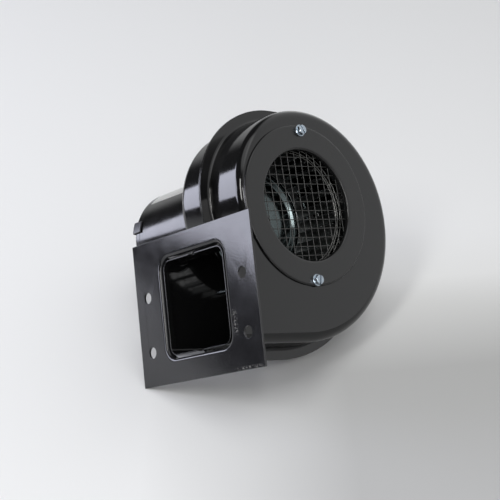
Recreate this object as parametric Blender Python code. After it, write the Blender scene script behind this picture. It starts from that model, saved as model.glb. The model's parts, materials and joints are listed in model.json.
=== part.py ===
"""Centrifugal blower: forward-curved wheel, drawn two-part scroll, flanged outlet and a round motor.

Metres, +Z up. The wheel turns about a line along Y. The inlet faces -Y and the outlet faces -X.
Each piece is modelled from the middle of the inlet, on the wheel's axis at the front of the scroll.
The empty that carries them all puts the world origin under the middle of the whole blower.
"""

import math

import bmesh
import bpy
from mathutils import Vector

# Sheet and fits
SHEET = 0.0008
GAP = 0.0003
OVERRUN = 0.002

# Scroll housing
SCROLL_START_RADIUS = 0.0577
SCROLL_GROWTH_PER_TURN = 0.0491
HOUSING_DEPTH = 0.069
EDGE_ROUNDING = 0.0069
SEAM_RIM_WIDTH = 0.0084
SEAM_FILLET = 0.0025
TONGUE_RADIUS = 0.012
DUCT_HEIGHT = 0.0654
DUCT_NARROWING = 0.0023
DUCT_NECK_LENGTH = 0.0148
DUCT_SETBACK = 0.0015
SEAM_RIM_SETBACK = 0.0053

# Inlet collar drawn into the front shell
COLLAR_RADIUS = 0.0432
COLLAR_ROUNDING = 0.0028
COLLAR_DEPTH = 0.008

# Outlet flange
FLANGE_SIDE_WIDTH = 0.0313
FLANGE_THICKNESS = 0.0016
FLANGE_DROP = 0.0183
FLANGE_RISE = 0.0163
FLANGE_LIP_MARGIN = 0.004
FLANGE_LIP_ROUNDING = 0.0022
FLANGE_LIP_DEPTH = 0.005
BOLT_SIDE_MARGIN = 0.0127
BOLT_SPACING_UP = 0.0381
BOLT_LOWER_MARGIN = 0.0233
BOLT_HOLE_RADIUS = 0.00395

# Inlet ring and its wire guard
RING_RADIUS = 0.05715
RING_HOLE_RADIUS = 0.0394
RING_STAND = 0.0016
RING_EDGE_ROUNDING = 0.0014
RING_CURL_ROUNDING = 0.002
RING_CURL_DEPTH = 0.0036
GUARD_PITCH = 0.00635
GUARD_WIRE = 0.0008

# Screws with a hexagonal head on a washer
SCREW_CIRCLE_RADIUS = 0.0532
SCREW_SHANK_RADIUS = 0.0019
SCREW_TIP_RADIUS = 0.0013
SCREW_LENGTH = 0.009
SCREW_TIP_LENGTH = 0.002
SCREW_WASHER_RADIUS = 0.0042
SCREW_WASHER_THICKNESS = 0.0009
SCREW_HEX_ACROSS_FLATS = 0.00635
SCREW_HEAD_HEIGHT = 0.0027
SCREW_SLOT_WIDTH = 0.0012
SCREW_SLOT_DEPTH = 0.0012

# Wheel
WHEEL_RADIUS = 0.0476
WHEEL_FRONT = 0.0120
WHEEL_REAR_ROOM = 0.0175
BLADE_COUNT = 28
BLADE_DEPTH = 0.0093
BLADE_SWEEP = math.radians(7.0)
BLADE_SAGITTA_SHARE = 0.2
BLADE_THICKNESS = 0.0006
BAND_THICKNESS = 0.0006
WHEEL_LIP_DEPTH = 0.0032
WHEEL_LIP_ROUNDING = 0.0014
FRONT_RING_WIDTH = 0.0057
DISH_RIM_INSET = 0.0104
DISH_FLOOR_INSET = 0.0142
DISH_DEPTH = 0.0025
DISH_ROUNDING = 0.0015

# Hub and shaft
SHAFT_RADIUS = 0.003175
SHAFT_RECESS = 0.0012
HUB_RADIUS = 0.0065
HUB_FRONT_REACH = 0.0080
HUB_BACK_REACH = 0.0035
HUB_FLANGE_RADIUS = 0.0110
HUB_FLANGE_THICKNESS = 0.0014
SET_SCREW_RADIUS = 0.0016
SET_SCREW_SOCKET_RADIUS = 0.0008
SET_SCREW_SOCKET_DEPTH = 0.0012

# Motor casing
MOTOR_RADIUS = 0.0421
MOTOR_WALL = 0.0010
MOTOR_LENGTH = 0.0768
MOTOR_SHOULDER_WIDTH = 0.0044
MOTOR_SPIGOT_REACH = 0.0025
END_CAP_LENGTH = 0.0063
END_CAP_ROUNDING = 0.0022
BEARING_BOSS_RADIUS = 0.0090
BEARING_BOSS_LENGTH = 0.0130
BEARING_RADIUS = 0.0058
BEARING_LENGTH = 0.0095
RETAINER_THICKNESS = 0.0010
THRUST_WASHER_RADIUS = 0.0055
THRUST_WASHER_THICKNESS = 0.0012

# Clips over the motor's end cap
CLIP_COUNT = 3
CLIP_FIRST_ANGLE = math.radians(163.0)
CLIP_WIDTH = 0.0090
CLIP_THICKNESS = 0.0012
CLIP_SIDE_LENGTH = 0.0080
CLIP_END_LENGTH = 0.0070

# Motor mounting plate and its screws
MOUNT_EAR_COUNT = 3
MOUNT_FIRST_ANGLE = math.radians(-118.0)
MOUNT_CIRCLE_RADIUS = 0.0558
MOUNT_EAR_RADIUS = 0.0058
MOUNT_PLATE_THICKNESS = 0.0015

# Stator, coils and rotor
STACK_LENGTH = 0.030
POLE_COUNT = 4
POLE_HEIGHT = 0.0133
POLE_SHOE_HALF_ANGLE = math.radians(36.0)
POLE_SHOE_THICKNESS = 0.0030
POLE_NECK_WIDTH = 0.0120
YOKE_THICKNESS = 0.0070
COIL_THICKNESS = 0.0050
COIL_OVERHANG = 0.0065
ROTOR_END_RING_LENGTH = 0.0040
ROTOR_END_RING_INSET = 0.0020

# Grommet where the leads leave the motor
GROMMET_ANGLE = math.radians(-30.0)
GROMMET_SETBACK = 0.0075
GROMMET_RADIUS = 0.0048
GROMMET_LIP = 0.0014
GROMMET_BORE_RADIUS = 0.0024

# How finely round forms are drawn
SPIRAL_STEP = math.radians(7.5)
ROUNDING_STEPS = 3
LIP_STEPS = 2
LARGE_ROUND_STEPS = 40
SMALL_ROUND_STEPS = 24
HOLE_STEPS = 16

MID_DEPTH = HOUSING_DEPTH / 2
SEAM_FACE = MID_DEPTH - GAP / 2
DUCT_WIDTH = HOUSING_DEPTH - 2 * DUCT_NARROWING
FLANGE_WIDTH = DUCT_WIDTH + 2 * FLANGE_SIDE_WIDTH
FLANGE_HEIGHT = FLANGE_DROP + DUCT_HEIGHT + FLANGE_RISE
BOLT_SPACING_ACROSS = FLANGE_WIDTH - 2 * BOLT_SIDE_MARGIN
WHEEL_BACK = HOUSING_DEPTH - WHEEL_REAR_ROOM
BLADE_INNER_RADIUS = WHEEL_RADIUS - BLADE_DEPTH
FRONT_RING_INNER_RADIUS = WHEEL_RADIUS - FRONT_RING_WIDTH
DISH_RIM_RADIUS = WHEEL_RADIUS - DISH_RIM_INSET
DISH_FLOOR_RADIUS = WHEEL_RADIUS - DISH_FLOOR_INSET
PLATE_FACE = HOUSING_DEPTH + GAP
MOTOR_FACE = PLATE_FACE + MOUNT_PLATE_THICKNESS + GAP
MOTOR_END = MOTOR_FACE + MOTOR_LENGTH - MOUNT_PLATE_THICKNESS
CAP_FACE = MOTOR_END - END_CAP_LENGTH
MOTOR_OPENING_RADIUS = MOTOR_RADIUS - MOTOR_SHOULDER_WIDTH
YOKE_RADIUS = MOTOR_RADIUS - MOTOR_WALL - GAP - YOKE_THICKNESS
POLE_BORE_RADIUS = YOKE_RADIUS - POLE_HEIGHT
OUT_THROUGH_SHELL = (math.pi / 2, math.pi / 2 - GROMMET_ANGLE, 0)
PAINT_BLACK = (0.012, 0.012, 0.014)


def clear_scene():
    for old in list(bpy.data.objects):
        bpy.data.objects.remove(old, do_unlink=True)


def make_material(name, colour, roughness, metallic):
    material = bpy.data.materials.new(name)
    material.use_nodes = True
    shader = material.node_tree.nodes["Principled BSDF"]
    shader.inputs["Base Color"].default_value = (*colour, 1.0)
    shader.inputs["Roughness"].default_value = roughness
    shader.inputs["Metallic"].default_value = metallic
    material.diffuse_color = (*colour, 1.0)
    return material


def add_object(name, mesh, colour=PAINT_BLACK, roughness=0.25, metallic=0.0, parent=None):
    """Puts a mesh in the scene with a material of its own. Its parent is the blower's empty unless given."""
    obj = bpy.data.objects.new(name, mesh)
    bpy.context.scene.collection.objects.link(obj)
    mesh.materials.append(make_material(name + "_finish", colour, roughness, metallic))
    obj.parent = parent or BLOWER
    return obj


def finish_mesh(name, bm, smooth_angle=math.radians(35.0)):
    """Turns a bmesh into a mesh whose round faces are shaded smooth."""
    mesh = bpy.data.meshes.new(name)
    bm.to_mesh(mesh)
    bm.free()
    mesh.shade_smooth()
    mesh.set_sharp_from_angle(angle=smooth_angle)
    return mesh


def as_cutter(name, mesh, parent=None):
    cutter = bpy.data.objects.new(name, mesh)
    bpy.context.scene.collection.objects.link(cutter)
    cutter.hide_render = True
    cutter.display_type = "WIRE"
    cutter.parent = parent or BLOWER
    return cutter


def combine(obj, other, operation="DIFFERENCE"):
    modifier = obj.modifiers.new(other.name, "BOOLEAN")
    modifier.operation = operation
    modifier.solver = "EXACT"
    modifier.object = other


def on_axis(radius, angle, depth):
    """A point at a radius and angle round the wheel's axis. The angle runs from +X towards +Z."""
    return Vector((radius * math.cos(angle), depth, radius * math.sin(angle)))


def polygon_radius(radius, sides, angle):
    """The radius at an angle of a regular polygon whose flats lie at the given radius."""
    side = 2 * math.pi / sides
    return radius / math.cos((angle + side / 2) % side - side / 2)


def arc(centre, radius, start, end, steps):
    """Points (u, v) on an arc, both ends included."""
    turns = [start + (end - start) * i / steps for i in range(steps + 1)]
    return [(centre[0] + radius * math.cos(t), centre[1] + radius * math.sin(t)) for t in turns]


def turned_mesh(name, profile, steps=LARGE_ROUND_STEPS, start=0.0, sweep=2 * math.pi):
    """Turns a closed profile round the Y axis. Each point is (radius, depth) or (radius, depth, sides)."""
    bm = bmesh.new()
    full = sweep >= 2 * math.pi
    angles = [start + sweep * i / steps for i in range(steps if full else steps + 1)]
    rings = []
    for radius, depth, *sides in profile:
        if radius == 0:
            rings.append([bm.verts.new(on_axis(0, 0, depth))] * len(angles))
            continue
        reach = [polygon_radius(radius, sides[0], a) if sides else radius for a in angles]
        rings.append([bm.verts.new(on_axis(r, a, depth)) for r, a in zip(reach, angles)])
    for ring, after in zip(rings, rings[1:] + rings[:1]):
        for i in range(steps):
            j = (i + 1) % len(angles)
            corners = list(dict.fromkeys([ring[i], ring[j], after[j], after[i]]))
            if len(corners) > 2:
                bm.faces.new(corners)
    if not full:
        bm.faces.new([ring[0] for ring in rings])
        bm.faces.new([ring[-1] for ring in rings])
    bmesh.ops.recalc_face_normals(bm, faces=bm.faces[:])
    return finish_mesh(name, bm)


def wall_profile(outer_line, thickness):
    """A closed profile from an open line of (radius, depth) points, thickened to the line's left."""
    inner_line = []
    for i, point in enumerate(outer_line):
        before = outer_line[max(i - 1, 0)]
        after = outer_line[min(i + 1, len(outer_line) - 1)]
        into = Vector(point) - Vector(before)
        out_of = Vector(after) - Vector(point)
        into = into.normalized() if into.length else out_of.normalized()
        out_of = out_of.normalized() if out_of.length else into
        across = Vector((-into.y - out_of.y, into.x + out_of.x)).normalized()
        stretch = 1 / across.dot(Vector((-into.y, into.x)))
        inner_line.append(tuple(Vector(point) + across * thickness * stretch))
    return list(outer_line) + inner_line[::-1]


def extruded_mesh(name, outer, holes, start, end):
    """A plate between two depths along Y, from an outer loop and hole loops of (x, z) points."""
    bm = bmesh.new()
    loops = []
    for loop in [outer, *holes]:
        verts = [bm.verts.new((x, start, z)) for x, z in loop]
        loops.append([bm.edges.new((v, verts[(i + 1) % len(verts)])) for i, v in enumerate(verts)])
    edges = [edge for loop in loops for edge in loop]
    bmesh.ops.triangle_fill(bm, edges=edges, use_beauty=True, normal=(0, 1, 0))
    moved = bmesh.ops.extrude_face_region(bm, geom=bm.faces[:])["geom"]
    for element in moved:
        if isinstance(element, bmesh.types.BMVert):
            element.co.y = end
    bmesh.ops.recalc_face_normals(bm, faces=bm.faces[:])
    return finish_mesh(name, bm)


def box_mesh(name, low, high):
    bm = bmesh.new()
    bmesh.ops.create_cube(bm, size=1)
    for vert in bm.verts:
        vert.co = Vector(h if c > 0 else l for c, l, h in zip(vert.co, low, high))
    bmesh.ops.recalc_face_normals(bm, faces=bm.faces[:])
    return finish_mesh(name, bm)


def circle(centre, radius, steps):
    """Points on a circle. They start half a step round, so that none falls on a line through the centre."""
    start = math.pi / steps
    return arc(centre, radius, start, start + 2 * math.pi, steps)[:-1]


def rounded_rectangle(centre, half_width, half_height, radius, steps=ROUNDING_STEPS * 2):
    """Points (u, v) of a rectangle with round corners, anticlockwise."""
    points = []
    for corner in range(4):
        start = corner * math.pi / 2
        sign_u = 1 if corner in (0, 3) else -1
        sign_v = 1 if corner in (0, 1) else -1
        middle = (centre[0] + sign_u * (half_width - radius), centre[1] + sign_v * (half_height - radius))
        points += arc(middle, radius, start, start + math.pi / 2, steps)
    return points


# The scroll's outline. The turn is measured from the left of the wheel, over the top and down the right.


def scroll_radius(turn):
    return SCROLL_START_RADIUS + SCROLL_GROWTH_PER_TURN * turn / (2 * math.pi)


def scroll_point(turn):
    """Point (x, z) of the spiral wall and its outward direction."""
    radius = scroll_radius(turn)
    growth = SCROLL_GROWTH_PER_TURN / (2 * math.pi)
    point = Vector((-radius * math.cos(turn), radius * math.sin(turn)))
    along = Vector((
        -growth * math.cos(turn) + radius * math.sin(turn),
        growth * math.sin(turn) + radius * math.cos(turn),
    )).normalized()
    return point, Vector((-along.y, along.x))


def bisect(function, low, high, rounds=60):
    """Where a function that rises from low to high passes zero."""
    for _ in range(rounds):
        middle = (low + high) / 2
        if function(middle) < 0:
            low = middle
        else:
            high = middle
    return (low + high) / 2


def lowest_turn():
    """Where the spiral runs level under the wheel and the duct's straight floor begins."""
    return bisect(lambda turn: scroll_point(turn)[1].x * -1, 1.25 * math.pi, 1.75 * math.pi)


def duct_floor():
    return scroll_point(lowest_turn())[0].y


def duct_roof():
    return duct_floor() + DUCT_HEIGHT


def tongue():
    """The turn at which the spiral meets the tongue's arc, and the arc's centre (x, z)."""
    def centre_at(turn):
        point, outward = scroll_point(turn)
        return point + outward * TONGUE_RADIUS

    def too_high(turn):
        return centre_at(turn).y - duct_roof() - TONGUE_RADIUS

    turn = bisect(too_high, -math.pi / 2, math.pi / 6)
    return turn, centre_at(turn)


# The duct's neck runs on from where the tongue's arc ends, up to the flange's face.
OUTLET_REACH = DUCT_NECK_LENGTH - tongue()[1].x
DUCT_EDGE_X = DUCT_SETBACK - OUTLET_REACH
SEAM_END_X = SEAM_RIM_SETBACK - OUTLET_REACH


def housing_outline():
    """Stations (point, outward direction) from the duct's floor at the outlet, round to its roof there."""
    last, centre = tongue()
    first = lowest_turn()
    neck = [DUCT_EDGE_X, SEAM_END_X, centre.x]
    floor = [(Vector((x, duct_floor())), Vector((0, -1))) for x in neck]
    roof = [(Vector((x, duct_roof())), Vector((0, 1))) for x in reversed(neck)]
    steps = round((first - last) / SPIRAL_STEP)
    spiral = [scroll_point(first + (last - first) * i / steps) for i in range(steps + 1)]
    outward = spiral[-1][1]
    start = math.atan2(outward.y, outward.x) % (2 * math.pi)
    bend = []
    for c, s in arc((0, 0), 1, start, math.pi / 2, ROUNDING_STEPS * 2)[1:-1]:
        bend.append((centre - Vector((c, s)) * TONGUE_RADIUS, Vector((c, s))))
    return floor + spiral + bend + roof


NECK_STATIONS = 3


def taper(x):
    """How much of its depth the housing keeps at x. The duct narrows between the tongue and the flange."""
    return DUCT_WIDTH / HOUSING_DEPTH if x < SEAM_END_X + GAP else 1.0


def shell_mesh(name, hole_radius, collar, mirrored):
    """One drawn half of the housing as a surface: face, rounded edge, wall, fillet and seam rim."""
    rounding = EDGE_ROUNDING
    rim_front = SEAM_FACE - SHEET
    quarter = math.pi / 2
    edge = arc((-rounding, rounding), rounding, -quarter, 0, ROUNDING_STEPS)
    fillet = arc((SEAM_FILLET, rim_front - SEAM_FILLET), SEAM_FILLET, 2 * quarter, quarter, ROUNDING_STEPS - 1)
    profile = edge + fillet + [(SEAM_RIM_WIDTH, rim_front)]
    wall_end = len(edge)

    bm = bmesh.new()
    outline = housing_outline()

    def place(point, outward, reach, depth):
        x, z = point + outward * reach
        return bm.verts.new((x, MID_DEPTH - (MID_DEPTH - depth) * taper(point.x), z))

    columns = []
    for i, (point, outward) in enumerate(outline):
        bare = i in (0, len(outline) - 1)
        line = profile[: wall_end + 1] if bare else profile
        columns.append([place(point, outward, reach, depth) for reach, depth in line])
    for i, (left, right) in enumerate(zip(columns, columns[1:])):
        rows = min(len(left), len(right))
        for j in range(rows - 1):
            bm.faces.new([left[j], left[j + 1], right[j + 1], right[j]])
        if len(left) != len(right):
            ends = [place(*outline[k], 0, SEAM_FACE) for k in (i, i + 1)]
            bm.faces.new([left[wall_end], ends[0], ends[1], right[wall_end]])
    for k in range(NECK_STATIONS - 1):
        bm.faces.new([columns[k][0], columns[k + 1][0], columns[-k - 2][0], columns[-k - 1][0]])

    flat_radius = hole_radius + (COLLAR_ROUNDING if collar else 0)
    around = [bm.verts.new((x, 0, z)) for x, z in circle((0, 0), flat_radius, LARGE_ROUND_STEPS)]
    border = [column[0] for column in columns[NECK_STATIONS - 1 : 1 - NECK_STATIONS]]
    edges = [bm.edges.get((a, b)) or bm.edges.new((a, b)) for a, b in zip(border, border[1:] + border[:1])]
    edges += [bm.edges.new((a, b)) for a, b in zip(around, around[1:] + around[:1])]
    bmesh.ops.triangle_fill(bm, edges=edges, use_beauty=True, normal=(0, -1, 0))
    if collar:
        bend = arc((flat_radius, COLLAR_ROUNDING), COLLAR_ROUNDING, -quarter, -2 * quarter, LIP_STEPS)
        ring = around
        for radius, depth in bend[1:] + [(hole_radius, COLLAR_DEPTH)]:
            deeper = [bm.verts.new((x, depth, z)) for x, z in circle((0, 0), radius, LARGE_ROUND_STEPS)]
            for i, vert in enumerate(ring):
                j = (i + 1) % len(ring)
                bm.faces.new([vert, ring[j], deeper[j], deeper[i]])
            ring = deeper
    if mirrored:
        for vert in bm.verts:
            vert.co.y = HOUSING_DEPTH - vert.co.y
    bmesh.ops.recalc_face_normals(bm, faces=bm.faces[:])
    flat = max(bm.faces, key=lambda face: abs(face.normal.y) * face.calc_area())
    if (flat.normal.y > 0) != mirrored:
        bmesh.ops.reverse_faces(bm, faces=bm.faces[:])
    return finish_mesh(name, bm)


def thicken(obj, thickness):
    """Gives a drawn surface its wall, behind the side that faces out."""
    wall = obj.modifiers.new("wall", "SOLIDIFY")
    wall.thickness = thickness
    wall.offset = -1
    wall.use_even_offset = True
    wall.use_quality_normals = True


def screw_hole(name, place, from_depth, to_depth, radius=SCREW_SHANK_RADIUS + GAP):
    mesh = extruded_mesh(name, circle(place, radius, HOLE_STEPS), [], from_depth, to_depth)
    return as_cutter(name, mesh)


def ring_screw_places():
    return {"top": (0, SCREW_CIRCLE_RADIUS), "bottom": (0, -SCREW_CIRCLE_RADIUS)}


def mount_angles():
    return [MOUNT_FIRST_ANGLE + 2 * math.pi * i / MOUNT_EAR_COUNT for i in range(MOUNT_EAR_COUNT)]


def mount_places():
    radius = MOUNT_CIRCLE_RADIUS
    return [(radius * math.cos(a), radius * math.sin(a)) for a in mount_angles()]


def build_housing():
    front = add_object("front_scroll_shell", shell_mesh("front_scroll_shell", COLLAR_RADIUS, True, False))
    rear = add_object("rear_scroll_shell", shell_mesh("rear_scroll_shell", MOTOR_OPENING_RADIUS, False, True))
    thicken(front, SHEET)
    thicken(rear, SHEET)
    for label, place in ring_screw_places().items():
        combine(front, screw_hole("front_hole_" + label, place, -OVERRUN, SHEET + OVERRUN))
    inside = HOUSING_DEPTH - SHEET
    for i, place in enumerate(mount_places(), 1):
        combine(rear, screw_hole(f"rear_hole_{i}", place, inside - OVERRUN, HOUSING_DEPTH + OVERRUN))


def flange_mesh():
    """The flange's front surface, with bolt holes, and the opening's edge rolled back round the duct."""
    lower = duct_floor() - FLANGE_DROP
    middle = ((duct_floor() + duct_roof()) / 2)
    half_width = DUCT_WIDTH / 2 + FLANGE_LIP_MARGIN
    half_height = DUCT_HEIGHT / 2 + FLANGE_LIP_MARGIN
    corner = EDGE_ROUNDING + FLANGE_LIP_MARGIN
    rounding = FLANGE_LIP_ROUNDING
    lip = arc((0, rounding), rounding, -math.pi / 2, 0, LIP_STEPS) + [(rounding, FLANGE_LIP_DEPTH)]

    bm = bmesh.new()

    def loop_at(points, depth):
        return [bm.verts.new((depth - OUTLET_REACH, y, z)) for y, z in points]

    def closed(verts):
        return [bm.edges.get((a, b)) or bm.edges.new((a, b)) for a, b in zip(verts, verts[1:] + verts[:1])]

    sides = (MID_DEPTH - FLANGE_WIDTH / 2, MID_DEPTH + FLANGE_WIDTH / 2)
    levels = (lower, lower + FLANGE_HEIGHT)
    corners = [(sides[0], levels[0]), (sides[1], levels[0]), (sides[1], levels[1]), (sides[0], levels[1])]
    edges = closed(loop_at(corners, 0))
    for side in (-1, 1):
        for row in (0, 1):
            place = (MID_DEPTH + side * BOLT_SPACING_ACROSS / 2, lower + BOLT_LOWER_MARGIN + row * BOLT_SPACING_UP)
            edges += closed(loop_at(circle(place, BOLT_HOLE_RADIUS, HOLE_STEPS), 0))
    ring = None
    for inset, depth in lip:
        points = rounded_rectangle((MID_DEPTH, middle), half_width - inset, half_height - inset, corner - inset)
        deeper = loop_at(points, depth)
        if ring:
            for i, vert in enumerate(ring):
                j = (i + 1) % len(ring)
                bm.faces.new([vert, ring[j], deeper[j], deeper[i]])
        else:
            edges += closed(deeper)
        ring = deeper
    bmesh.ops.triangle_fill(bm, edges=edges, use_beauty=True, normal=(-1, 0, 0))
    bmesh.ops.recalc_face_normals(bm, faces=bm.faces[:])
    flat = max(bm.faces, key=lambda face: abs(face.normal.x) * face.calc_area())
    if flat.normal.x > 0:
        bmesh.ops.reverse_faces(bm, faces=bm.faces[:])
    return finish_mesh("outlet_flange", bm)


def build_flange():
    thicken(add_object("outlet_flange", flange_mesh()), FLANGE_THICKNESS)


def build_inlet():
    """The ring stands on the scroll's face; its hole is curled inwards and the guard lies behind the curl."""
    quarter = math.pi / 2
    front = -GAP - RING_STAND
    edge = arc((RING_RADIUS - RING_EDGE_ROUNDING, front + RING_EDGE_ROUNDING), RING_EDGE_ROUNDING,
               0, -quarter, LIP_STEPS)
    curl = arc((RING_HOLE_RADIUS + RING_CURL_ROUNDING, front + RING_CURL_ROUNDING), RING_CURL_ROUNDING,
               -quarter, -2 * quarter, LIP_STEPS)
    line = [(RING_RADIUS, -GAP)] + edge + curl + [(RING_HOLE_RADIUS, front + RING_CURL_DEPTH)]
    ring = add_object("inlet_ring", turned_mesh("inlet_ring", wall_profile(line[::-1], SHEET)), roughness=0.3)
    for label, place in ring_screw_places().items():
        combine(ring, screw_hole("ring_hole_" + label, place, front - OVERRUN, SHEET))
        build_screw("ring_screw_" + label, place, front, 1)


def build_guard():
    """A flat welded mesh. Each wire runs across the disc, and the cells' corners are shared."""
    reach = COLLAR_RADIUS - 2 * GAP
    depth = RING_CURL_DEPTH - RING_STAND
    half = GUARD_WIRE / 2
    count = int((reach - GUARD_PITCH / 2) / GUARD_PITCH) + 1
    places = [GUARD_PITCH * (i + 0.5) for i in range(-count, count)]
    bm = bmesh.new()
    made = {}

    def corner(x, z):
        key = (round(x / GAP * 100), round(z / GAP * 100))
        if key not in made:
            made[key] = bm.verts.new((x, depth, z))
        return made[key]

    def patch(x_low, x_high, z_low, z_high):
        bm.faces.new([corner(x_low, z_low), corner(x_high, z_low), corner(x_high, z_high), corner(x_low, z_high)])

    for across in places:
        half_length = math.sqrt(reach ** 2 - (abs(across) + half) ** 2)
        crossed = [p for p in places if abs(p) + half < half_length]
        cuts = [-half_length] + [p + side for p in crossed for side in (-half, half)] + [half_length]
        for i, (low, high) in enumerate(zip(cuts, cuts[1:])):
            patch(low, high, across - half, across + half)
            if i % 2 == 0:
                patch(across - half, across + half, low, high)
    bmesh.ops.remove_doubles(bm, verts=bm.verts[:], dist=GAP / 100)
    moved = bmesh.ops.extrude_face_region(bm, geom=bm.faces[:])["geom"]
    for element in moved:
        if isinstance(element, bmesh.types.BMVert):
            element.co.y = depth + GUARD_WIRE
    bmesh.ops.recalc_face_normals(bm, faces=bm.faces[:])
    add_object("inlet_guard", finish_mesh("inlet_guard", bm), roughness=0.35)


def build_screw(name, place, seat, facing):
    """A hexagonal washer-head screw. Its head stands on the seat's -Y side, or +Y where facing is -1."""
    washer_top = -SCREW_WASHER_THICKNESS
    head_top = washer_top - SCREW_HEAD_HEIGHT
    flat = SCREW_HEX_ACROSS_FLATS / 2
    profile = [
        (0, head_top),
        (flat, head_top, 6),
        (flat, washer_top, 6),
        (SCREW_WASHER_RADIUS, washer_top + GAP),
        (SCREW_WASHER_RADIUS, 0),
        (SCREW_SHANK_RADIUS, 0),
        (SCREW_SHANK_RADIUS, SCREW_LENGTH - SCREW_TIP_LENGTH),
        (SCREW_TIP_RADIUS, SCREW_LENGTH),
        (0, SCREW_LENGTH),
    ]
    screw = add_object(name, turned_mesh(name, profile, SMALL_ROUND_STEPS), (0.62, 0.66, 0.70), 0.3, 1.0)
    screw.location = (place[0], seat - facing * GAP, place[1])
    if facing < 0:
        screw.rotation_euler = (math.pi, 0, 0)
    half = SCREW_SLOT_WIDTH / 2
    reach = SCREW_HEX_ACROSS_FLATS
    slot = box_mesh(name + "_slot", (-reach, head_top - OVERRUN, -half), (reach, head_top + SCREW_SLOT_DEPTH, half))
    combine(screw, as_cutter(name + "_slot", slot, screw))


def blade_section(angle):
    """The outline (x, z) of one blade: an arc that hollows towards the way the wheel turns."""
    tip_radius = WHEEL_RADIUS - BAND_THICKNESS - GAP - BLADE_THICKNESS
    root = Vector(on_axis(BLADE_INNER_RADIUS, angle, 0).xz)
    tip = Vector(on_axis(tip_radius, angle - BLADE_SWEEP, 0).xz)
    chord = tip - root
    back = Vector((-chord.y, chord.x)).normalized()
    sagitta = BLADE_SAGITTA_SHARE * chord.length
    radius = (chord.length ** 2 / 4 + sagitta ** 2) / (2 * sagitta)
    centre = (root + tip) / 2 - back * (radius - sagitta)
    start = math.atan2(*(root - centre).yx)
    half = math.asin(chord.length / 2 / radius)
    outer = arc(centre, radius + BLADE_THICKNESS / 2, start, start - 2 * half, ROUNDING_STEPS)
    inner = arc(centre, radius - BLADE_THICKNESS / 2, start, start - 2 * half, ROUNDING_STEPS)
    return outer + inner[::-1]


def blades_mesh(start, end):
    bm = bmesh.new()
    for i in range(BLADE_COUNT):
        section = blade_section(2 * math.pi * i / BLADE_COUNT)
        near = [bm.verts.new((x, start, z)) for x, z in section]
        far = [bm.verts.new((x, end, z)) for x, z in section]
        bm.faces.new(near)
        bm.faces.new(far)
        for j in range(len(section)):
            k = (j + 1) % len(section)
            bm.faces.new([near[j], near[k], far[k], far[j]])
    bmesh.ops.recalc_face_normals(bm, faces=bm.faces[:])
    return finish_mesh("blades", bm)


def band_mesh(name, front, inner_radius):
    outer = WHEEL_RADIUS - BAND_THICKNESS - GAP
    back = front + BAND_THICKNESS
    profile = [(inner_radius, front), (outer, front), (outer, back), (inner_radius, back)]
    return turned_mesh(name, profile)


def build_wheel():
    """Blade strip between a curled front ring and a dished back plate, all on one hub."""
    grey = (0.035, 0.037, 0.04)
    front_band = WHEEL_FRONT + BAND_THICKNESS + GAP
    back_band = WHEEL_BACK - 2 * BAND_THICKNESS - GAP
    half_band = BAND_THICKNESS / 2
    cage = band_mesh("wheel_blade_cage", front_band, FRONT_RING_INNER_RADIUS + GAP)
    cage = add_object("wheel_blade_cage", cage, grey, 0.35, 0.6, WHEEL)
    blades = as_cutter("blades", blades_mesh(front_band + half_band, back_band + half_band), WHEEL)
    back_mesh = band_mesh("back_band", back_band, DISH_RIM_RADIUS + DISH_ROUNDING)
    combine(cage, blades, "UNION")
    combine(cage, as_cutter("back_band", back_mesh, WHEEL), "UNION")

    quarter = math.pi / 2
    round_in = WHEEL_LIP_ROUNDING
    bead = (FRONT_RING_INNER_RADIUS + WHEEL_RADIUS) / 2
    front_lip = arc((WHEEL_RADIUS - round_in, WHEEL_FRONT + round_in), round_in, -quarter, 0, LIP_STEPS)
    front_line = [(FRONT_RING_INNER_RADIUS, WHEEL_FRONT), (bead, WHEEL_FRONT)] + front_lip
    front_line.append((WHEEL_RADIUS, WHEEL_FRONT + WHEEL_LIP_DEPTH))
    front_ring = turned_mesh("wheel_front_ring", wall_profile(front_line, BAND_THICKNESS))
    add_object("wheel_front_ring", front_ring, (0.25, 0.25, 0.24), 0.3, 0.9, WHEEL)

    back_lip = arc((WHEEL_RADIUS - round_in, WHEEL_BACK - round_in), round_in, 0, quarter, LIP_STEPS)
    floor = WHEEL_BACK + DISH_DEPTH
    across = DISH_RIM_RADIUS - DISH_FLOOR_RADIUS
    drop = DISH_DEPTH - 2 * DISH_ROUNDING
    slope = math.atan2(drop, across) + math.asin(2 * DISH_ROUNDING / math.hypot(across, drop))
    rim_centre = (DISH_RIM_RADIUS, WHEEL_BACK + DISH_ROUNDING)
    floor_centre = (DISH_FLOOR_RADIUS, floor - DISH_ROUNDING)
    rim_bend = arc(rim_centre, DISH_ROUNDING, -quarter, -quarter - slope, ROUNDING_STEPS)
    floor_bend = arc(floor_centre, DISH_ROUNDING, quarter - slope, quarter, ROUNDING_STEPS)
    back_line = [(WHEEL_RADIUS, WHEEL_BACK - WHEEL_LIP_DEPTH)] + back_lip + rim_bend + floor_bend
    back_line.append((HUB_RADIUS + GAP, floor))
    back_plate = turned_mesh("wheel_back_plate", wall_profile(back_line, BAND_THICKNESS))
    add_object("wheel_back_plate", back_plate, (0.03, 0.034, 0.038), 0.15, 0.3, WHEEL)
    build_hub(floor)


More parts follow.
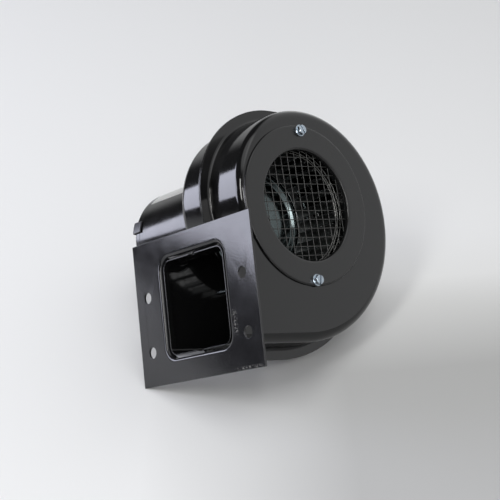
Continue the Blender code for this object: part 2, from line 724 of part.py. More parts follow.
def build_hub(floor):
    """The hub passes through the dish; its flange bears on the dish's back, and a screw grips the shaft."""
    front = floor - HUB_FRONT_REACH
    flange_front = floor + GAP
    flange_back = flange_front + HUB_FLANGE_THICKNESS
    back = flange_back + HUB_BACK_REACH
    bore = SHAFT_RADIUS + GAP
    profile = [
        (bore, front), (HUB_RADIUS, front), (HUB_RADIUS, flange_front), (HUB_FLANGE_RADIUS, flange_front),
        (HUB_FLANGE_RADIUS, flange_back), (HUB_RADIUS, flange_back), (HUB_RADIUS, back), (bore, back),
    ]
    hub = turned_mesh("wheel_hub", profile, SMALL_ROUND_STEPS)
    hub = add_object("wheel_hub", hub, (0.45, 0.45, 0.46), 0.35, 1.0, WHEEL)

    depth = front + HUB_FRONT_REACH / 3
    length = HUB_RADIUS - SHAFT_RADIUS - GAP
    drill = [(0, 0), (SET_SCREW_RADIUS + GAP, 0), (SET_SCREW_RADIUS + GAP, HUB_RADIUS + OVERRUN),
             (0, HUB_RADIUS + OVERRUN)]
    cutter = as_cutter("set_screw_hole", turned_mesh("set_screw_hole", drill, HOLE_STEPS), WHEEL)
    cutter.location = (0, depth, 0)
    cutter.rotation_euler = (math.pi / 2, 0, 0)
    combine(hub, cutter)
    socket = SET_SCREW_SOCKET_DEPTH
    profile = [(0, 0), (SET_SCREW_RADIUS, 0), (SET_SCREW_RADIUS, length), (SET_SCREW_SOCKET_RADIUS, length, 6),
               (SET_SCREW_SOCKET_RADIUS, length - socket, 6), (0, length - socket)]
    screw = turned_mesh("hub_set_screw", profile, HOLE_STEPS + ROUNDING_STEPS * 2 + 2)
    screw = add_object("hub_set_screw", screw, (0.08, 0.08, 0.09), 0.35, 1.0, WHEEL)
    screw.location = (0, depth, SHAFT_RADIUS + GAP)
    screw.rotation_euler = (math.pi / 2, 0, 0)


def washer_profile(inner, outer, front, thickness):
    back = front + thickness
    return [(inner, front), (outer, front), (outer, back), (inner, back)]


def build_shaft():
    """Shaft, rotor and thrust washers, which turn with the wheel between the two sleeve bearings."""
    steel = (0.55, 0.55, 0.56)
    start = WHEEL_BACK + DISH_DEPTH - HUB_FRONT_REACH + SHAFT_RECESS
    end = MOTOR_END - MOTOR_WALL - GAP
    shaft = turned_mesh("motor_shaft", [(0, start), (SHAFT_RADIUS, start), (SHAFT_RADIUS, end), (0, end)],
                        SMALL_ROUND_STEPS)
    add_object("motor_shaft", shaft, steel, 0.25, 1.0, WHEEL)

    bore = SHAFT_RADIUS + GAP
    outer = POLE_BORE_RADIUS - 2 * GAP
    stack_start, stack_end = stack_depths()
    ring = outer - ROTOR_END_RING_INSET
    profile = [
        (bore, stack_start - ROTOR_END_RING_LENGTH), (ring, stack_start - ROTOR_END_RING_LENGTH),
        (ring, stack_start), (outer, stack_start), (outer, stack_end), (ring, stack_end),
        (ring, stack_end + ROTOR_END_RING_LENGTH), (bore, stack_end + ROTOR_END_RING_LENGTH),
    ]
    add_object("rotor_core", turned_mesh("rotor_core", profile, SMALL_ROUND_STEPS), (0.3, 0.3, 0.32), 0.5, 0.9, WHEEL)

    washer = THRUST_WASHER_THICKNESS
    places = {"front": boss_back() + GAP, "rear": rear_boss_front() - GAP - washer}
    for label, front in places.items():
        name = label + "_thrust_washer"
        profile = washer_profile(bore, THRUST_WASHER_RADIUS, front, washer)
        add_object(name, turned_mesh(name, profile, SMALL_ROUND_STEPS), (0.5, 0.28, 0.1), 0.5, 0.0, WHEEL)


def spigot_face():
    return HOUSING_DEPTH - MOTOR_SPIGOT_REACH


def boss_back():
    """Where the front bearing's boss ends, inside the motor."""
    return spigot_face() + BEARING_BOSS_LENGTH


def rear_boss_front():
    return MOTOR_END - BEARING_BOSS_LENGTH


def stack_depths():
    middle = (boss_back() + rear_boss_front()) / 2
    return middle - STACK_LENGTH / 2, middle + STACK_LENGTH / 2


def build_motor_casing():
    """Front bell, round shell and end cap, with the clips that hold the cap on."""
    wall = MOTOR_WALL
    boss = BEARING_BOSS_RADIUS
    bore = BEARING_RADIUS + GAP
    face = spigot_face()
    spigot = MOTOR_OPENING_RADIUS - GAP
    profile = [
        (bore, face), (spigot - wall, face), (spigot, face + wall), (spigot, MOTOR_FACE), (MOTOR_RADIUS, MOTOR_FACE),
        (MOTOR_RADIUS, MOTOR_FACE + wall), (spigot - wall, MOTOR_FACE + wall), (spigot - wall, face + 2 * wall),
        (boss, face + 2 * wall), (boss, boss_back()), (SHAFT_RADIUS + 2 * GAP, boss_back()),
        (SHAFT_RADIUS + 2 * GAP, boss_back() - wall), (bore, boss_back() - wall),
    ]
    add_object("motor_front_bell", turned_mesh("motor_front_bell", profile))

    start = MOTOR_FACE + wall + GAP
    inner = MOTOR_RADIUS - wall
    profile = [(inner, start), (MOTOR_RADIUS, start), (MOTOR_RADIUS, CAP_FACE - GAP), (inner, CAP_FACE - GAP)]
    shell = add_object("motor_shell", turned_mesh("motor_shell", profile))
    drill = [(0, inner - OVERRUN), (GROMMET_RADIUS, inner - OVERRUN), (GROMMET_RADIUS, MOTOR_RADIUS + OVERRUN),
             (0, MOTOR_RADIUS + OVERRUN)]
    hole = as_cutter("lead_hole", turned_mesh("lead_hole", drill, HOLE_STEPS))
    hole.location = (0, start + GROMMET_SETBACK, 0)
    hole.rotation_euler = OUT_THROUGH_SHELL
    combine(shell, hole)

    rounding = END_CAP_ROUNDING
    edge = arc((MOTOR_RADIUS - rounding, MOTOR_END - rounding), rounding, 0, math.pi / 2, ROUNDING_STEPS)
    line = [(MOTOR_RADIUS, CAP_FACE)] + edge
    outside = line + [(0, MOTOR_END)]
    seat = rear_boss_front()
    inside = [
        (0, MOTOR_END - wall), (bore, MOTOR_END - wall), (bore, seat), (boss, seat), (boss, MOTOR_END - wall),
        (MOTOR_RADIUS - rounding, MOTOR_END - wall), (inner, MOTOR_END - rounding), (inner, CAP_FACE),
    ]
    add_object("motor_end_cap", turned_mesh("motor_end_cap", outside + inside))


def build_clips():
    """Bent strips that hook over the end cap's rounded edge."""
    low = MOTOR_RADIUS + GAP
    high = low + CLIP_THICKNESS
    end = MOTOR_END + GAP
    start = CAP_FACE - CLIP_SIDE_LENGTH / 4
    tip = high - CLIP_END_LENGTH
    rounding = END_CAP_ROUNDING / 2
    outer = arc((high - rounding, end + CLIP_THICKNESS - rounding), rounding, 0, math.pi / 2, LIP_STEPS)
    profile = [(low, start), (high, start)] + outer
    profile += [(tip, end + CLIP_THICKNESS), (tip, end), (low, end)]
    width = CLIP_WIDTH / high
    for i in range(CLIP_COUNT):
        name = f"motor_clip_{i + 1}"
        middle = CLIP_FIRST_ANGLE - 2 * math.pi * i / CLIP_COUNT
        mesh = turned_mesh(name, profile, ROUNDING_STEPS, middle - width / 2, width)
        add_object(name, mesh, (0.03, 0.03, 0.035), 0.35, 0.4)


def mount_outline():
    """The mounting plate's edge: the motor's round with an ear at each screw."""
    points = []
    half_turn = math.asin(MOUNT_EAR_RADIUS / MOTOR_RADIUS)
    between = 2 * math.pi / MOUNT_EAR_COUNT - 2 * half_turn
    for angle, place in zip(mount_angles(), mount_places()):
        points += arc(place, MOUNT_EAR_RADIUS, angle - math.pi / 2, angle + math.pi / 2, HOLE_STEPS // 2)
        points += arc((0, 0), MOTOR_RADIUS, angle + half_turn, angle + half_turn + between, HOLE_STEPS // 2)
    return points


def build_mount_plate():
    holes = [circle((0, 0), MOTOR_OPENING_RADIUS, LARGE_ROUND_STEPS)]
    holes += [circle(place, SCREW_SHANK_RADIUS + GAP, HOLE_STEPS) for place in mount_places()]
    back = PLATE_FACE + MOUNT_PLATE_THICKNESS
    mesh = extruded_mesh("motor_mount_plate", mount_outline(), holes, PLATE_FACE, back)
    add_object("motor_mount_plate", mesh)
    for i, place in enumerate(mount_places(), 1):
        build_screw(f"motor_mount_screw_{i}", place, back, -1)


def stator_outline():
    """The stack's inner edge (x, z): pole faces, shoes and necks, with slots between them."""
    points = []
    neck = POLE_NECK_WIDTH / 2
    shoe = POLE_BORE_RADIUS + POLE_SHOE_THICKNESS
    pitch = 2 * math.pi / POLE_COUNT
    for i in range(POLE_COUNT):
        middle = i * pitch + pitch / 2
        at_root = math.asin(neck / YOKE_RADIUS)
        at_shoe = math.asin(neck / shoe)
        tip = POLE_SHOE_HALF_ANGLE
        points.append(tuple(on_axis(YOKE_RADIUS, middle - at_root, 0).xz))
        points.append(tuple(on_axis(shoe, middle - at_shoe, 0).xz))
        points.append(tuple(on_axis(shoe, middle - tip, 0).xz))
        points += arc((0, 0), POLE_BORE_RADIUS, middle - tip, middle + tip, HOLE_STEPS // 2)
        points.append(tuple(on_axis(shoe, middle + tip, 0).xz))
        points.append(tuple(on_axis(shoe, middle + at_shoe, 0).xz))
        points += arc((0, 0), YOKE_RADIUS, middle + at_root, middle + pitch - at_root, HOLE_STEPS // 4)[:-1]
    return points


def build_stator():
    start, end = stack_depths()
    outer = MOTOR_RADIUS - MOTOR_WALL - GAP
    rim = circle((0, 0), outer, LARGE_ROUND_STEPS)
    mesh = extruded_mesh("stator_core", rim, [stator_outline()], start, end)
    add_object("stator_core", mesh, (0.2, 0.2, 0.21), 0.6, 0.8)

    low = POLE_BORE_RADIUS + POLE_SHOE_THICKNESS + 2 * GAP
    high = YOKE_RADIUS - 2 * GAP
    middle = (start + end) / 2
    neck_width = POLE_NECK_WIDTH / 2 + GAP
    neck_length = (end - start) / 2 + GAP
    half_width = neck_width + COIL_THICKNESS
    half_length = neck_length + COIL_OVERHANG
    top = math.sqrt(high ** 2 - half_width ** 2)
    window = rounded_rectangle((0, 0), neck_width, neck_length, 2 * GAP, ROUNDING_STEPS)
    edge = rounded_rectangle((0, 0), half_width, half_length, COIL_THICKNESS, ROUNDING_STEPS)
    for i in range(POLE_COUNT):
        name = f"stator_coil_{i + 1}"
        coil = extruded_mesh(name, edge, [window], low, top)
        coil = add_object(name, coil, (0.5, 0.18, 0.06), 0.45, 0.3)
        coil.location = (0, middle, 0)
        coil.rotation_euler = (math.pi / 2, (i + 0.5) * 2 * math.pi / POLE_COUNT, 0)


def build_bearings():
    """Sleeve bearings in the bell and the cap, each kept in by a spring washer."""
    bronze = (0.45, 0.3, 0.13)
    keep = RETAINER_THICKNESS
    seats = {"front": boss_back() - MOTOR_WALL - GAP - BEARING_LENGTH, "rear": rear_boss_front() + keep + 2 * GAP}
    kept = {"front": seats["front"] - GAP - keep, "rear": rear_boss_front() + GAP}
    for label, front in seats.items():
        name = label + "_bearing"
        profile = washer_profile(SHAFT_RADIUS + GAP, BEARING_RADIUS, front, BEARING_LENGTH)
        add_object(name, turned_mesh(name, profile, SMALL_ROUND_STEPS), bronze, 0.5, 0.8)
        name = label + "_bearing_retainer"
        profile = washer_profile(SHAFT_RADIUS + 2 * GAP, BEARING_RADIUS, kept[label], keep)
        add_object(name, turned_mesh(name, profile, SMALL_ROUND_STEPS), (0.4, 0.4, 0.42), 0.4, 1.0)


def build_grommet():
    """A rubber ring in the shell's side, through which the motor's leads would pass."""
    low = MOTOR_RADIUS - MOTOR_WALL - GROMMET_LIP
    high = MOTOR_RADIUS + GROMMET_LIP
    groove = GROMMET_RADIUS - GAP
    lip = GROMMET_RADIUS + GROMMET_LIP
    curve = MOTOR_RADIUS - math.sqrt(MOTOR_RADIUS ** 2 - lip ** 2)
    profile = [
        (GROMMET_BORE_RADIUS, low - curve), (groove, low - curve), (groove, MOTOR_RADIUS + GAP),
        (lip, MOTOR_RADIUS + GAP), (lip, high), (GROMMET_BORE_RADIUS, high),
    ]
    grommet = turned_mesh("lead_grommet", profile, HOLE_STEPS)
    grommet = add_object("lead_grommet", grommet, (0.02, 0.02, 0.02), 0.8, 0.0)
    grommet.location = (0, MOTOR_FACE + MOTOR_WALL + GAP + GROMMET_SETBACK, 0)
    grommet.rotation_euler = OUT_THROUGH_SHELL


def blower_origin():
    """The middle of the underside of the blower, seen from the middle of the inlet."""
    rim = [point + outward * SEAM_RIM_WIDTH for point, outward in housing_outline()[1:-1]]
    low_x = -OUTLET_REACH
    high_x = max(point.x for point in rim)
    low_y = MID_DEPTH - FLANGE_WIDTH / 2
    high_y = MOTOR_END + GAP + CLIP_THICKNESS
    return Vector(((low_x + high_x) / 2, (low_y + high_y) / 2, duct_floor() - FLANGE_DROP))


clear_scene()
BLOWER = bpy.data.objects.new("blower", None)
bpy.context.scene.collection.objects.link(BLOWER)
BLOWER.location = -blower_origin()
WHEEL = bpy.data.objects.new("wheel_spin", None)
bpy.context.scene.collection.objects.link(WHEEL)
WHEEL.parent = BLOWER

build_housing()
build_flange()
build_inlet()
build_guard()
build_wheel()
build_shaft()
build_mount_plate()
build_motor_casing()
build_clips()
build_stator()
build_bearings()
build_grommet()
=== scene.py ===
# %% [markdown]
# # Dressing a small centrifugal blower
#
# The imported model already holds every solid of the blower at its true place. This lesson keeps those places
# and swaps the plain solids that show for finer sheet metal, wire and fasteners, each with its own finish.
# Everything is in metres, in the same frame as the solids.

# %% Load the solids that everything is fitted to
import math

import bmesh
import bpy
from mathutils import Matrix, Vector
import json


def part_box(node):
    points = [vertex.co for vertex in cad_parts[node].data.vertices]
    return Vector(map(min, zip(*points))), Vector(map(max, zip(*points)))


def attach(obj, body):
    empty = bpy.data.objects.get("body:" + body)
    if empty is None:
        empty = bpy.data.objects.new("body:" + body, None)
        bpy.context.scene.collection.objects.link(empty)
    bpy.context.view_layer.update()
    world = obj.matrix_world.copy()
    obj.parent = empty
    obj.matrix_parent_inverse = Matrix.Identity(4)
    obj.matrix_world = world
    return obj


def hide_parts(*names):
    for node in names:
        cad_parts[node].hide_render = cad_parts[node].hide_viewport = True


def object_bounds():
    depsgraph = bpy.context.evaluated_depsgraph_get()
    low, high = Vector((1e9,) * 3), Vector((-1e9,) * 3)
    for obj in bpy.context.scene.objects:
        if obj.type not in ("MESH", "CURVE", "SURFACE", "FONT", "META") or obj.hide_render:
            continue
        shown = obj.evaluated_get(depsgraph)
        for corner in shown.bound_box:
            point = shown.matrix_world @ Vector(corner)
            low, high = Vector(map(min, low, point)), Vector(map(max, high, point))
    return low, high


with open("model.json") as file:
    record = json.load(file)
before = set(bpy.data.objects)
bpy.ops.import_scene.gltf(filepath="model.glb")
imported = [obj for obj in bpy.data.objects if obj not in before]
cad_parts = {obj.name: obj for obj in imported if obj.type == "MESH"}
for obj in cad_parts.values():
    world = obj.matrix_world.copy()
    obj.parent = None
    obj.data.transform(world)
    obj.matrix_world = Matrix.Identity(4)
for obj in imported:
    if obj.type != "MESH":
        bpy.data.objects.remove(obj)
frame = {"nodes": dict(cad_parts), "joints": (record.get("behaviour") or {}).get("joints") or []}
SOLIDS_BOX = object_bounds()
NODES = frame["nodes"]
HOUSING_BODY = "housing_and_motor"
WHEEL_BODY = "wheel_and_rotor"
INLET = Vector(frame["joints"][0]["pos_m"])
print("solids:", len(NODES), "inlet centre:", [round(c, 4) for c in INLET])

# %% [markdown]
# ## The view
#
# The camera was solved from the photograph: the inlet ring and the flange are a circle and a rectangle of
# known shape, so their outlines give the direction, the distance and the focal length. Its three axes are
# unit vectors in the blower's frame, which the lights use too, so that a reflection can be reasoned about
# in the picture.

# %% Camera at the photograph's angle
CAMERA_PLACE = Vector((-0.578052, -0.636718, -0.050253))
CAMERA_RIGHT = Vector((0.7528, -0.6491, -0.1056)).normalized()
CAMERA_UP = Vector((-0.02975, -0.19412, 0.98053)).normalized()
CAMERA_AHEAD = CAMERA_UP.cross(CAMERA_RIGHT).normalized()
LENS_MM = 85.82
SENSOR_MM = 36.0
CLIP_NEAR = 0.01
CLIP_FAR = 20.0


def in_view_axes(right, up, ahead):
    """A direction or place in the blower's frame, from amounts along the camera's own axes."""
    return CAMERA_RIGHT * right + CAMERA_UP * up + CAMERA_AHEAD * ahead


def turned_to(x_axis, y_axis, z_axis, place):
    """A placing matrix from three axes and a place."""
    matrix = Matrix((x_axis, y_axis, z_axis)).transposed().to_4x4()
    matrix.translation = place
    return matrix


def new_object(name, data):
    """An object in the scene, at the origin."""
    obj = bpy.data.objects.new(name, data)
    bpy.context.scene.collection.objects.link(obj)
    return obj


camera_data = bpy.data.cameras.new("camera")
camera_data.lens = LENS_MM
camera_data.sensor_width = SENSOR_MM
camera_data.clip_start = CLIP_NEAR
camera_data.clip_end = CLIP_FAR
camera = new_object("camera", camera_data)
camera.matrix_world = turned_to(CAMERA_RIGHT, CAMERA_UP, -CAMERA_AHEAD, CAMERA_PLACE)
bpy.context.scene.camera = camera
bpy.context.scene.view_settings.view_transform = "Standard"
print("camera looks along", [round(c, 3) for c in CAMERA_AHEAD])

# %% [markdown]
# ## The sizes that the pieces share
#
# A pressed-steel blower is drawn from a few numbers. The same ones come back in several pieces, so they are
# named once. Depth runs from the scroll's front face, which is zero, towards the motor.

# %% Sizes of the sheet metal
SHEET = 0.0008
GAP = 0.0003
DEPTH = 0.069
MID_DEPTH = DEPTH / 2
EDGE_ROUNDING = 0.0069
RIM_WIDTH = 0.0084
RIM_FILLET = 0.0025
SPIRAL_START = 0.0577
FULL_TURN = 2 * math.pi
QUARTER = math.pi / 2
GROWTH_PER_TURN = 0.0491
SPIRAL_GROWTH = GROWTH_PER_TURN / FULL_TURN
TONGUE_RADIUS = 0.012
DUCT_HEIGHT = 0.0654
DUCT_WIDTH = 0.0644
FLANGE_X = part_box("outlet_flange")[0].x - INLET.x
DUCT_EDGE_BACK = 0.0015
RIM_END_BACK = 0.0053
DUCT_EDGE_X = FLANGE_X + DUCT_EDGE_BACK
RIM_END_X = FLANGE_X + RIM_END_BACK
IN_MM = 1000


def arc(centre, radius, start, end, steps):
    """Points (u, v) on an arc, both ends included."""
    turns = [start + (end - start) * i / steps for i in range(steps + 1)]
    return [(centre[0] + radius * math.cos(t), centre[1] + radius * math.sin(t)) for t in turns]


print("flange face lies", round(-FLANGE_X * IN_MM, 2), "mm left of the inlet's centre")

# %% [markdown]
# ## Putting a piece in the scene
#
# Each piece is modelled round the middle of the inlet, where its shape is easy to write, and its mesh is
# then shifted to its place, so the object itself stays at the origin. Sheet parts are drawn as one surface,
# given their wall by Solidify, and their cut edges are broken by a very small Bevel: a sharp edge has no
# width, so it could never catch the light as the real, slightly burred one does. Weighted normals then keep
# the flats flat.

# %% Helpers that finish and place a piece
SMOOTH_ANGLE = math.radians(38)
BEVEL_ANGLE = math.radians(50)
MERGE_DISTANCE = GAP / 100
EDGE_BREAK = 0.00015
ROUND_STEPS = 160


def shade(mesh, sharp_angle=SMOOTH_ANGLE):
    """Smooth shading that keeps an edge sharp where its faces turn by more than the angle."""
    mesh.shade_smooth()
    mesh.set_sharp_from_angle(angle=sharp_angle)


def mesh_from(bm, name, recalculate=True):
    """Ends a bmesh and returns its mesh, where asked with doubles merged and all faces turned outwards."""
    if recalculate:
        bmesh.ops.remove_doubles(bm, verts=bm.verts[:], dist=MERGE_DISTANCE)
        bmesh.ops.recalc_face_normals(bm, faces=bm.faces[:])
    mesh = bpy.data.meshes.new(name)
    bm.to_mesh(mesh)
    bm.free()
    shade(mesh)
    return mesh


def place_piece(name, mesh, material, body, replaces=()):
    """Puts a mesh modelled round the inlet's centre in the scene, on its body and in the nodes' stead."""
    mesh.transform(Matrix.Translation(INLET))
    obj = new_object(name, mesh)
    mesh.materials.clear()
    mesh.materials.append(material)
    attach(obj, body)
    if replaces:
        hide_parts(*replaces)
    return obj


def add_wall(obj, thickness=SHEET):
    """Gives a surface its sheet, on the inner side."""
    wall = obj.modifiers.new("wall", "SOLIDIFY")
    wall.thickness = thickness
    wall.offset = -1
    wall.use_even_offset = True
    wall.use_quality_normals = True


def break_edges(obj, width=EDGE_BREAK, segments=2):
    """Breaks the sharp edges and keeps the flat faces evenly lit."""
    bevel = obj.modifiers.new("broken_edges", "BEVEL")
    bevel.width = width
    bevel.segments = segments
    bevel.limit_method = "ANGLE"
    bevel.angle_limit = BEVEL_ANGLE
    weighted = obj.modifiers.new("flat_faces", "WEIGHTED_NORMAL")
    weighted.keep_sharp = True


print("edges are broken by", EDGE_BREAK * IN_MM, "mm")

# %% [markdown]
# ## Faces from rings and loops
#
# Most of the blower is round or drawn, so most of its faces lie between two neighbouring rings of points. A
# ring with no radius is a pole, where the faces are triangles. A flat with holes is filled from its borders,
# and its widest face then tells which way the whole surface looks.

# %% Helpers that make faces
def ring_of(bm, reaches, depth):
    """A ring of points about the wheel's axis, each at its own radius. If all are zero, it is one point."""
    steps = len(reaches)
    if not any(reaches):
        return [bm.verts.new((0, depth, 0))] * steps
    turns = [FULL_TURN * i / steps for i in range(steps)]
    return [bm.verts.new((r * math.cos(t), depth, r * math.sin(t))) for r, t in zip(reaches, turns)]


def join_rings(bm, near, far):
    """Faces between two closed rings of points. At a pole, where points coincide, they are triangles."""
    for i in range(len(near)):
        j = (i + 1) % len(near)
        corners = list(dict.fromkeys([near[i], near[j], far[j], far[i]]))
        if len(corners) > 2:
            bm.faces.new(corners)


def turned(name, line, steps=ROUND_STEPS, closed=False):
    """Turns a line of (radius, depth) points about the wheel's axis. A closed line gives a solid ring."""
    bm = bmesh.new()
    rings = [ring_of(bm, [radius] * steps, depth) for radius, depth in line]
    pairs = list(zip(rings, rings[1:]))
    if closed:
        pairs.append((rings[-1], rings[0]))
    for near, far in pairs:
        join_rings(bm, near, far)
    return mesh_from(bm, name, recalculate=closed)


def lofted(name, loops):
    """A closed solid from loops of points, each joined to the next, with a face over either end."""
    bm = bmesh.new()
    loops = [[bm.verts.new(point) for point in loop] for loop in loops]
    bm.faces.new(loops[0])
    bm.faces.new(loops[-1])
    for near, far in zip(loops, loops[1:]):
        join_rings(bm, near, far)
    return mesh_from(bm, name)


def edges_round(bm, loop):
    """The edges of a closed loop of points, made where they are missing."""
    pairs = zip(loop, loop[1:] + loop[:1])
    return [bm.edges.get(pair) or bm.edges.new(pair) for pair in pairs]


def fill_flat(bm, edges, normal):
    """Fills a flat face between its outer and inner borders, then turns the whole surface its way."""
    bmesh.ops.triangle_fill(bm, edges=edges, use_beauty=True, normal=normal)
    bmesh.ops.recalc_face_normals(bm, faces=bm.faces[:])
    way = Vector(normal)
    widest = max(bm.faces, key=lambda face: abs(face.normal.dot(way)) * face.calc_area())
    if widest.normal.dot(way) < 0:
        bmesh.ops.reverse_faces(bm, faces=bm.faces[:])


print("points round a turned piece:", ROUND_STEPS)

# %% [markdown]
# ## Finishes
#
# Nearly everything is steel under gloss black enamel. Sprayed enamel is never flat: it dries with a fine
# ripple, the orange peel, which is what blurs the lamp's reflection into a soft, mottled edge. So the
# finish is a dark, glossy shader, a faint bump from two sizes of noise, and small changes of roughness. The
# plated and bare metals get a metallic shader with drawn or mottled roughness.

# %% Helpers for node materials
NOISE_LOW, NOISE_HIGH = 0.3, 0.7
GRAIN_LOW = 0.35
WAVE_PER_METRE = 28.0
CLOUD_PER_METRE = 90.0
ENAMEL_IOR = 1.5
COLOUR_A, COLOUR_B, MIXED = 6, 7, 2
RANGE_INPUTS = ("From Min", "From Max", "To Min", "To Max")


def new_material(name, base, roughness, metallic=0.0):
    """A material with one shader, and that shader."""
    material = bpy.data.materials.new(name)
    material.use_nodes = True
    nodes = material.node_tree.nodes
    shader = nodes["Principled BSDF"]
    shader.inputs["Base Color"].default_value = (*base, 1.0)
    shader.inputs["Roughness"].default_value = roughness
    shader.inputs["Metallic"].default_value = metallic
    return material, shader


def add_node(material, kind, **values):
    """Adds a shader node and sets its inputs by name, with _ for a space."""
    node = material.node_tree.nodes.new(kind)
    for key, value in values.items():
        node.inputs[key.replace("_", " ")].default_value = value
    return node


def wire_up(material, source, output, target, socket):
    """Links one node's output to another's input."""
    material.node_tree.links.new(source.outputs[output], target.inputs[socket])


def object_point(material, stretch=(1.0, 1.0, 1.0)):
    """The surface's own coordinates, stretched where a pattern is drawn out in one direction."""
    place = material.node_tree.nodes.new("ShaderNodeTexCoord")
    mapping = add_node(material, "ShaderNodeMapping", Scale=stretch)
    wire_up(material, place, "Object", mapping, "Vector")
    return mapping


def noise(material, point, per_metre, detail=3.0, roughness=0.5):
    """A noise with so many swings in a metre."""
    node = add_node(material, "ShaderNodeTexNoise", Scale=per_metre, Detail=detail, Roughness=roughness)
    wire_up(material, point, "Vector", node, "Vector")
    return node


def spread(material, source, output, from_low, from_high, to_low=0.0, to_high=1.0):
    """Moves a node's output from one range of values to another."""
    node = material.node_tree.nodes.new("ShaderNodeMapRange")
    for key, value in zip(RANGE_INPUTS, (from_low, from_high, to_low, to_high)):
        node.inputs[key].default_value = value
    wire_up(material, source, output, node, "Value")
    return node


def math_of(tree, operation, first, second=0.0):
    """A Math node's result. Each side is a number or another node's output."""
    node = tree.nodes.new("ShaderNodeMath")
    node.operation = operation
    for i, side in enumerate((first, second)):
        if isinstance(side, (int, float)):
            node.inputs[i].default_value = side
        else:
            tree.links.new(side, node.inputs[i])
    return node.outputs[0]


def mixed_colour(material, shader, amount, first, second):
    """Sets the shader's colour between two, by another node's output from zero to one."""
    tree = material.node_tree
    tone = tree.nodes.new("ShaderNodeMix")
    tone.data_type = "RGBA"
    tone.inputs[COLOUR_A].default_value = first
    tone.inputs[COLOUR_B].default_value = second
    tree.links.new(amount, tone.inputs[0])
    tree.links.new(tone.outputs[MIXED], shader.inputs["Base Color"])


def uneven_gloss(material, shader, source, low, high):
    """Lets a noise move the roughness between two values."""
    gloss = spread(material, source, 0, NOISE_LOW, NOISE_HIGH, low, high)
    wire_up(material, gloss, "Result", shader, "Roughness")


def ripple(material, shader, source, distance, strength=1.0, below=None):
    """Raises the surface by a noise's height, in metres."""
    bump = add_node(material, "ShaderNodeBump", Strength=strength, Distance=distance)
    wire_up(material, source, 0, bump, "Height")
    if below:
        wire_up(material, below, "Normal", bump, "Normal")
    wire_up(material, bump, "Normal", shader, "Normal")
    return bump


print("material helpers ready, enamel's index of refraction:", ENAMEL_IOR)

# %% [markdown]
# ## The enamel
#
# Each black piece was sprayed and stoved by itself, so each has a gloss and a peel of its own. The flange's
# is the coarsest, and those of the ring, the wires and the clips are duller than the shells'.

# %% Black enamel for each kind of piece
def enamel(name, base, roughness, peel, peel_per_metre, wave=0.0):
    """Stoving enamel. peel is the height of its fine ripple, wave that of the sheet's slow unevenness."""
    material, shader = new_material(name, base, roughness[0])
    shader.inputs["IOR"].default_value = ENAMEL_IOR
    point = object_point(material)
    fine = noise(material, point, peel_per_metre, 2.0)
    below = None
    if wave:
        slow = noise(material, point, WAVE_PER_METRE, 1.0)
        below = ripple(material, shader, slow, wave)
    ripple(material, shader, fine, peel, below=below)
    cloud = noise(material, point, CLOUD_PER_METRE, 4.0)
    uneven_gloss(material, shader, cloud, *roughness)
    return material


BLACK = (0.0045, 0.0045, 0.0047)
SHELL_ENAMEL = enamel("shell_enamel", BLACK, (0.07, 0.11), 0.000006, 700.0, 0.00003)
FLANGE_ENAMEL = enamel("flange_enamel", (0.010, 0.010, 0.0112), (0.08, 0.13), 0.000024, 900.0, 0.00004)
RING_ENAMEL = enamel("ring_enamel", (0.006, 0.006, 0.006), (0.2, 0.26), 0.000006, 900.0)
MOTOR_ENAMEL = enamel("motor_enamel", BLACK, (0.09, 0.16), 0.00001, 650.0, 0.00003)
WIRE_ENAMEL = enamel("wire_enamel", (0.026, 0.026, 0.0245), (0.26, 0.36), 0.00001, 1500.0)
CLIP_ENAMEL = enamel("clip_enamel", (0.03, 0.03, 0.034), (0.25, 0.35), 0.00001, 1100.0)
print("enamels:", [m.name for m in bpy.data.materials if m.name.endswith("enamel")])

# %% [markdown]
# ## Chips in the flange's enamel
#
# The flange is handled most, and its enamel is chipped to the steel along the lower edge and beside one
# bolt hole. A chip is where a fine noise passes a threshold, and a zone keeps the chips to one place: a
# product of ramps along the part's own axes, each of which rises from nothing to one between two places.

# %% Chips down to the bare steel
CHIPS_PER_METRE = 1300.0
CHIP_START, CHIP_FULL = 0.57, 0.63
CHIPPED_STEEL = (0.26, 0.255, 0.245, 1.0)
LOWER_EDGE_CHIPS = [("Z", 0.0030, 0.0016), ("Y", -0.058, -0.066)]
BESIDE_HOLE_CHIPS = [
    ("Y", -0.0615, -0.0632), ("Y", -0.0672, -0.0655), ("Z", 0.022, 0.026), ("Z", 0.041, 0.037),
]
CHIP_ZONES = [LOWER_EDGE_CHIPS, BESIDE_HOLE_CHIPS]


def chip_paint(material, zones):
    """Shows bare steel in small specks. A zone is a list of (axis, where nothing, where full)."""
    tree = material.node_tree
    shader = tree.nodes["Principled BSDF"]
    at = tree.nodes.new("ShaderNodeSeparateXYZ")
    wire_up(material, object_point(material), "Vector", at, "Vector")
    specks = noise(material, object_point(material), CHIPS_PER_METRE)
    specks = spread(material, specks, 0, CHIP_START, CHIP_FULL).outputs["Result"]
    total = 0.0
    for ramps in zones:
        product = specks
        for axis, nothing, full in ramps:
            inside = spread(material, at, axis, nothing, full).outputs["Result"]
            product = math_of(tree, "MULTIPLY", product, inside)
        total = math_of(tree, "MAXIMUM", total, product)
    mixed_colour(material, shader, total, tuple(shader.inputs["Base Color"].default_value), CHIPPED_STEEL)


chip_paint(FLANGE_ENAMEL, CHIP_ZONES)
print("chipped places:", len(CHIP_ZONES))

# %% [markdown]
# ## Metals
#
# The fasteners are zinc plated, the wheel is bare strip and sheet, and the shaft and hub are turned. What
# tells them apart is their grain, more than their colour: it is mottled on zinc, drawn along the strip, and
# runs round a turned piece. One noise, stretched in one direction, stands for all of these. The metals that
# show are darker here than real steel, because the lamps that they mirror are narrow and bright.

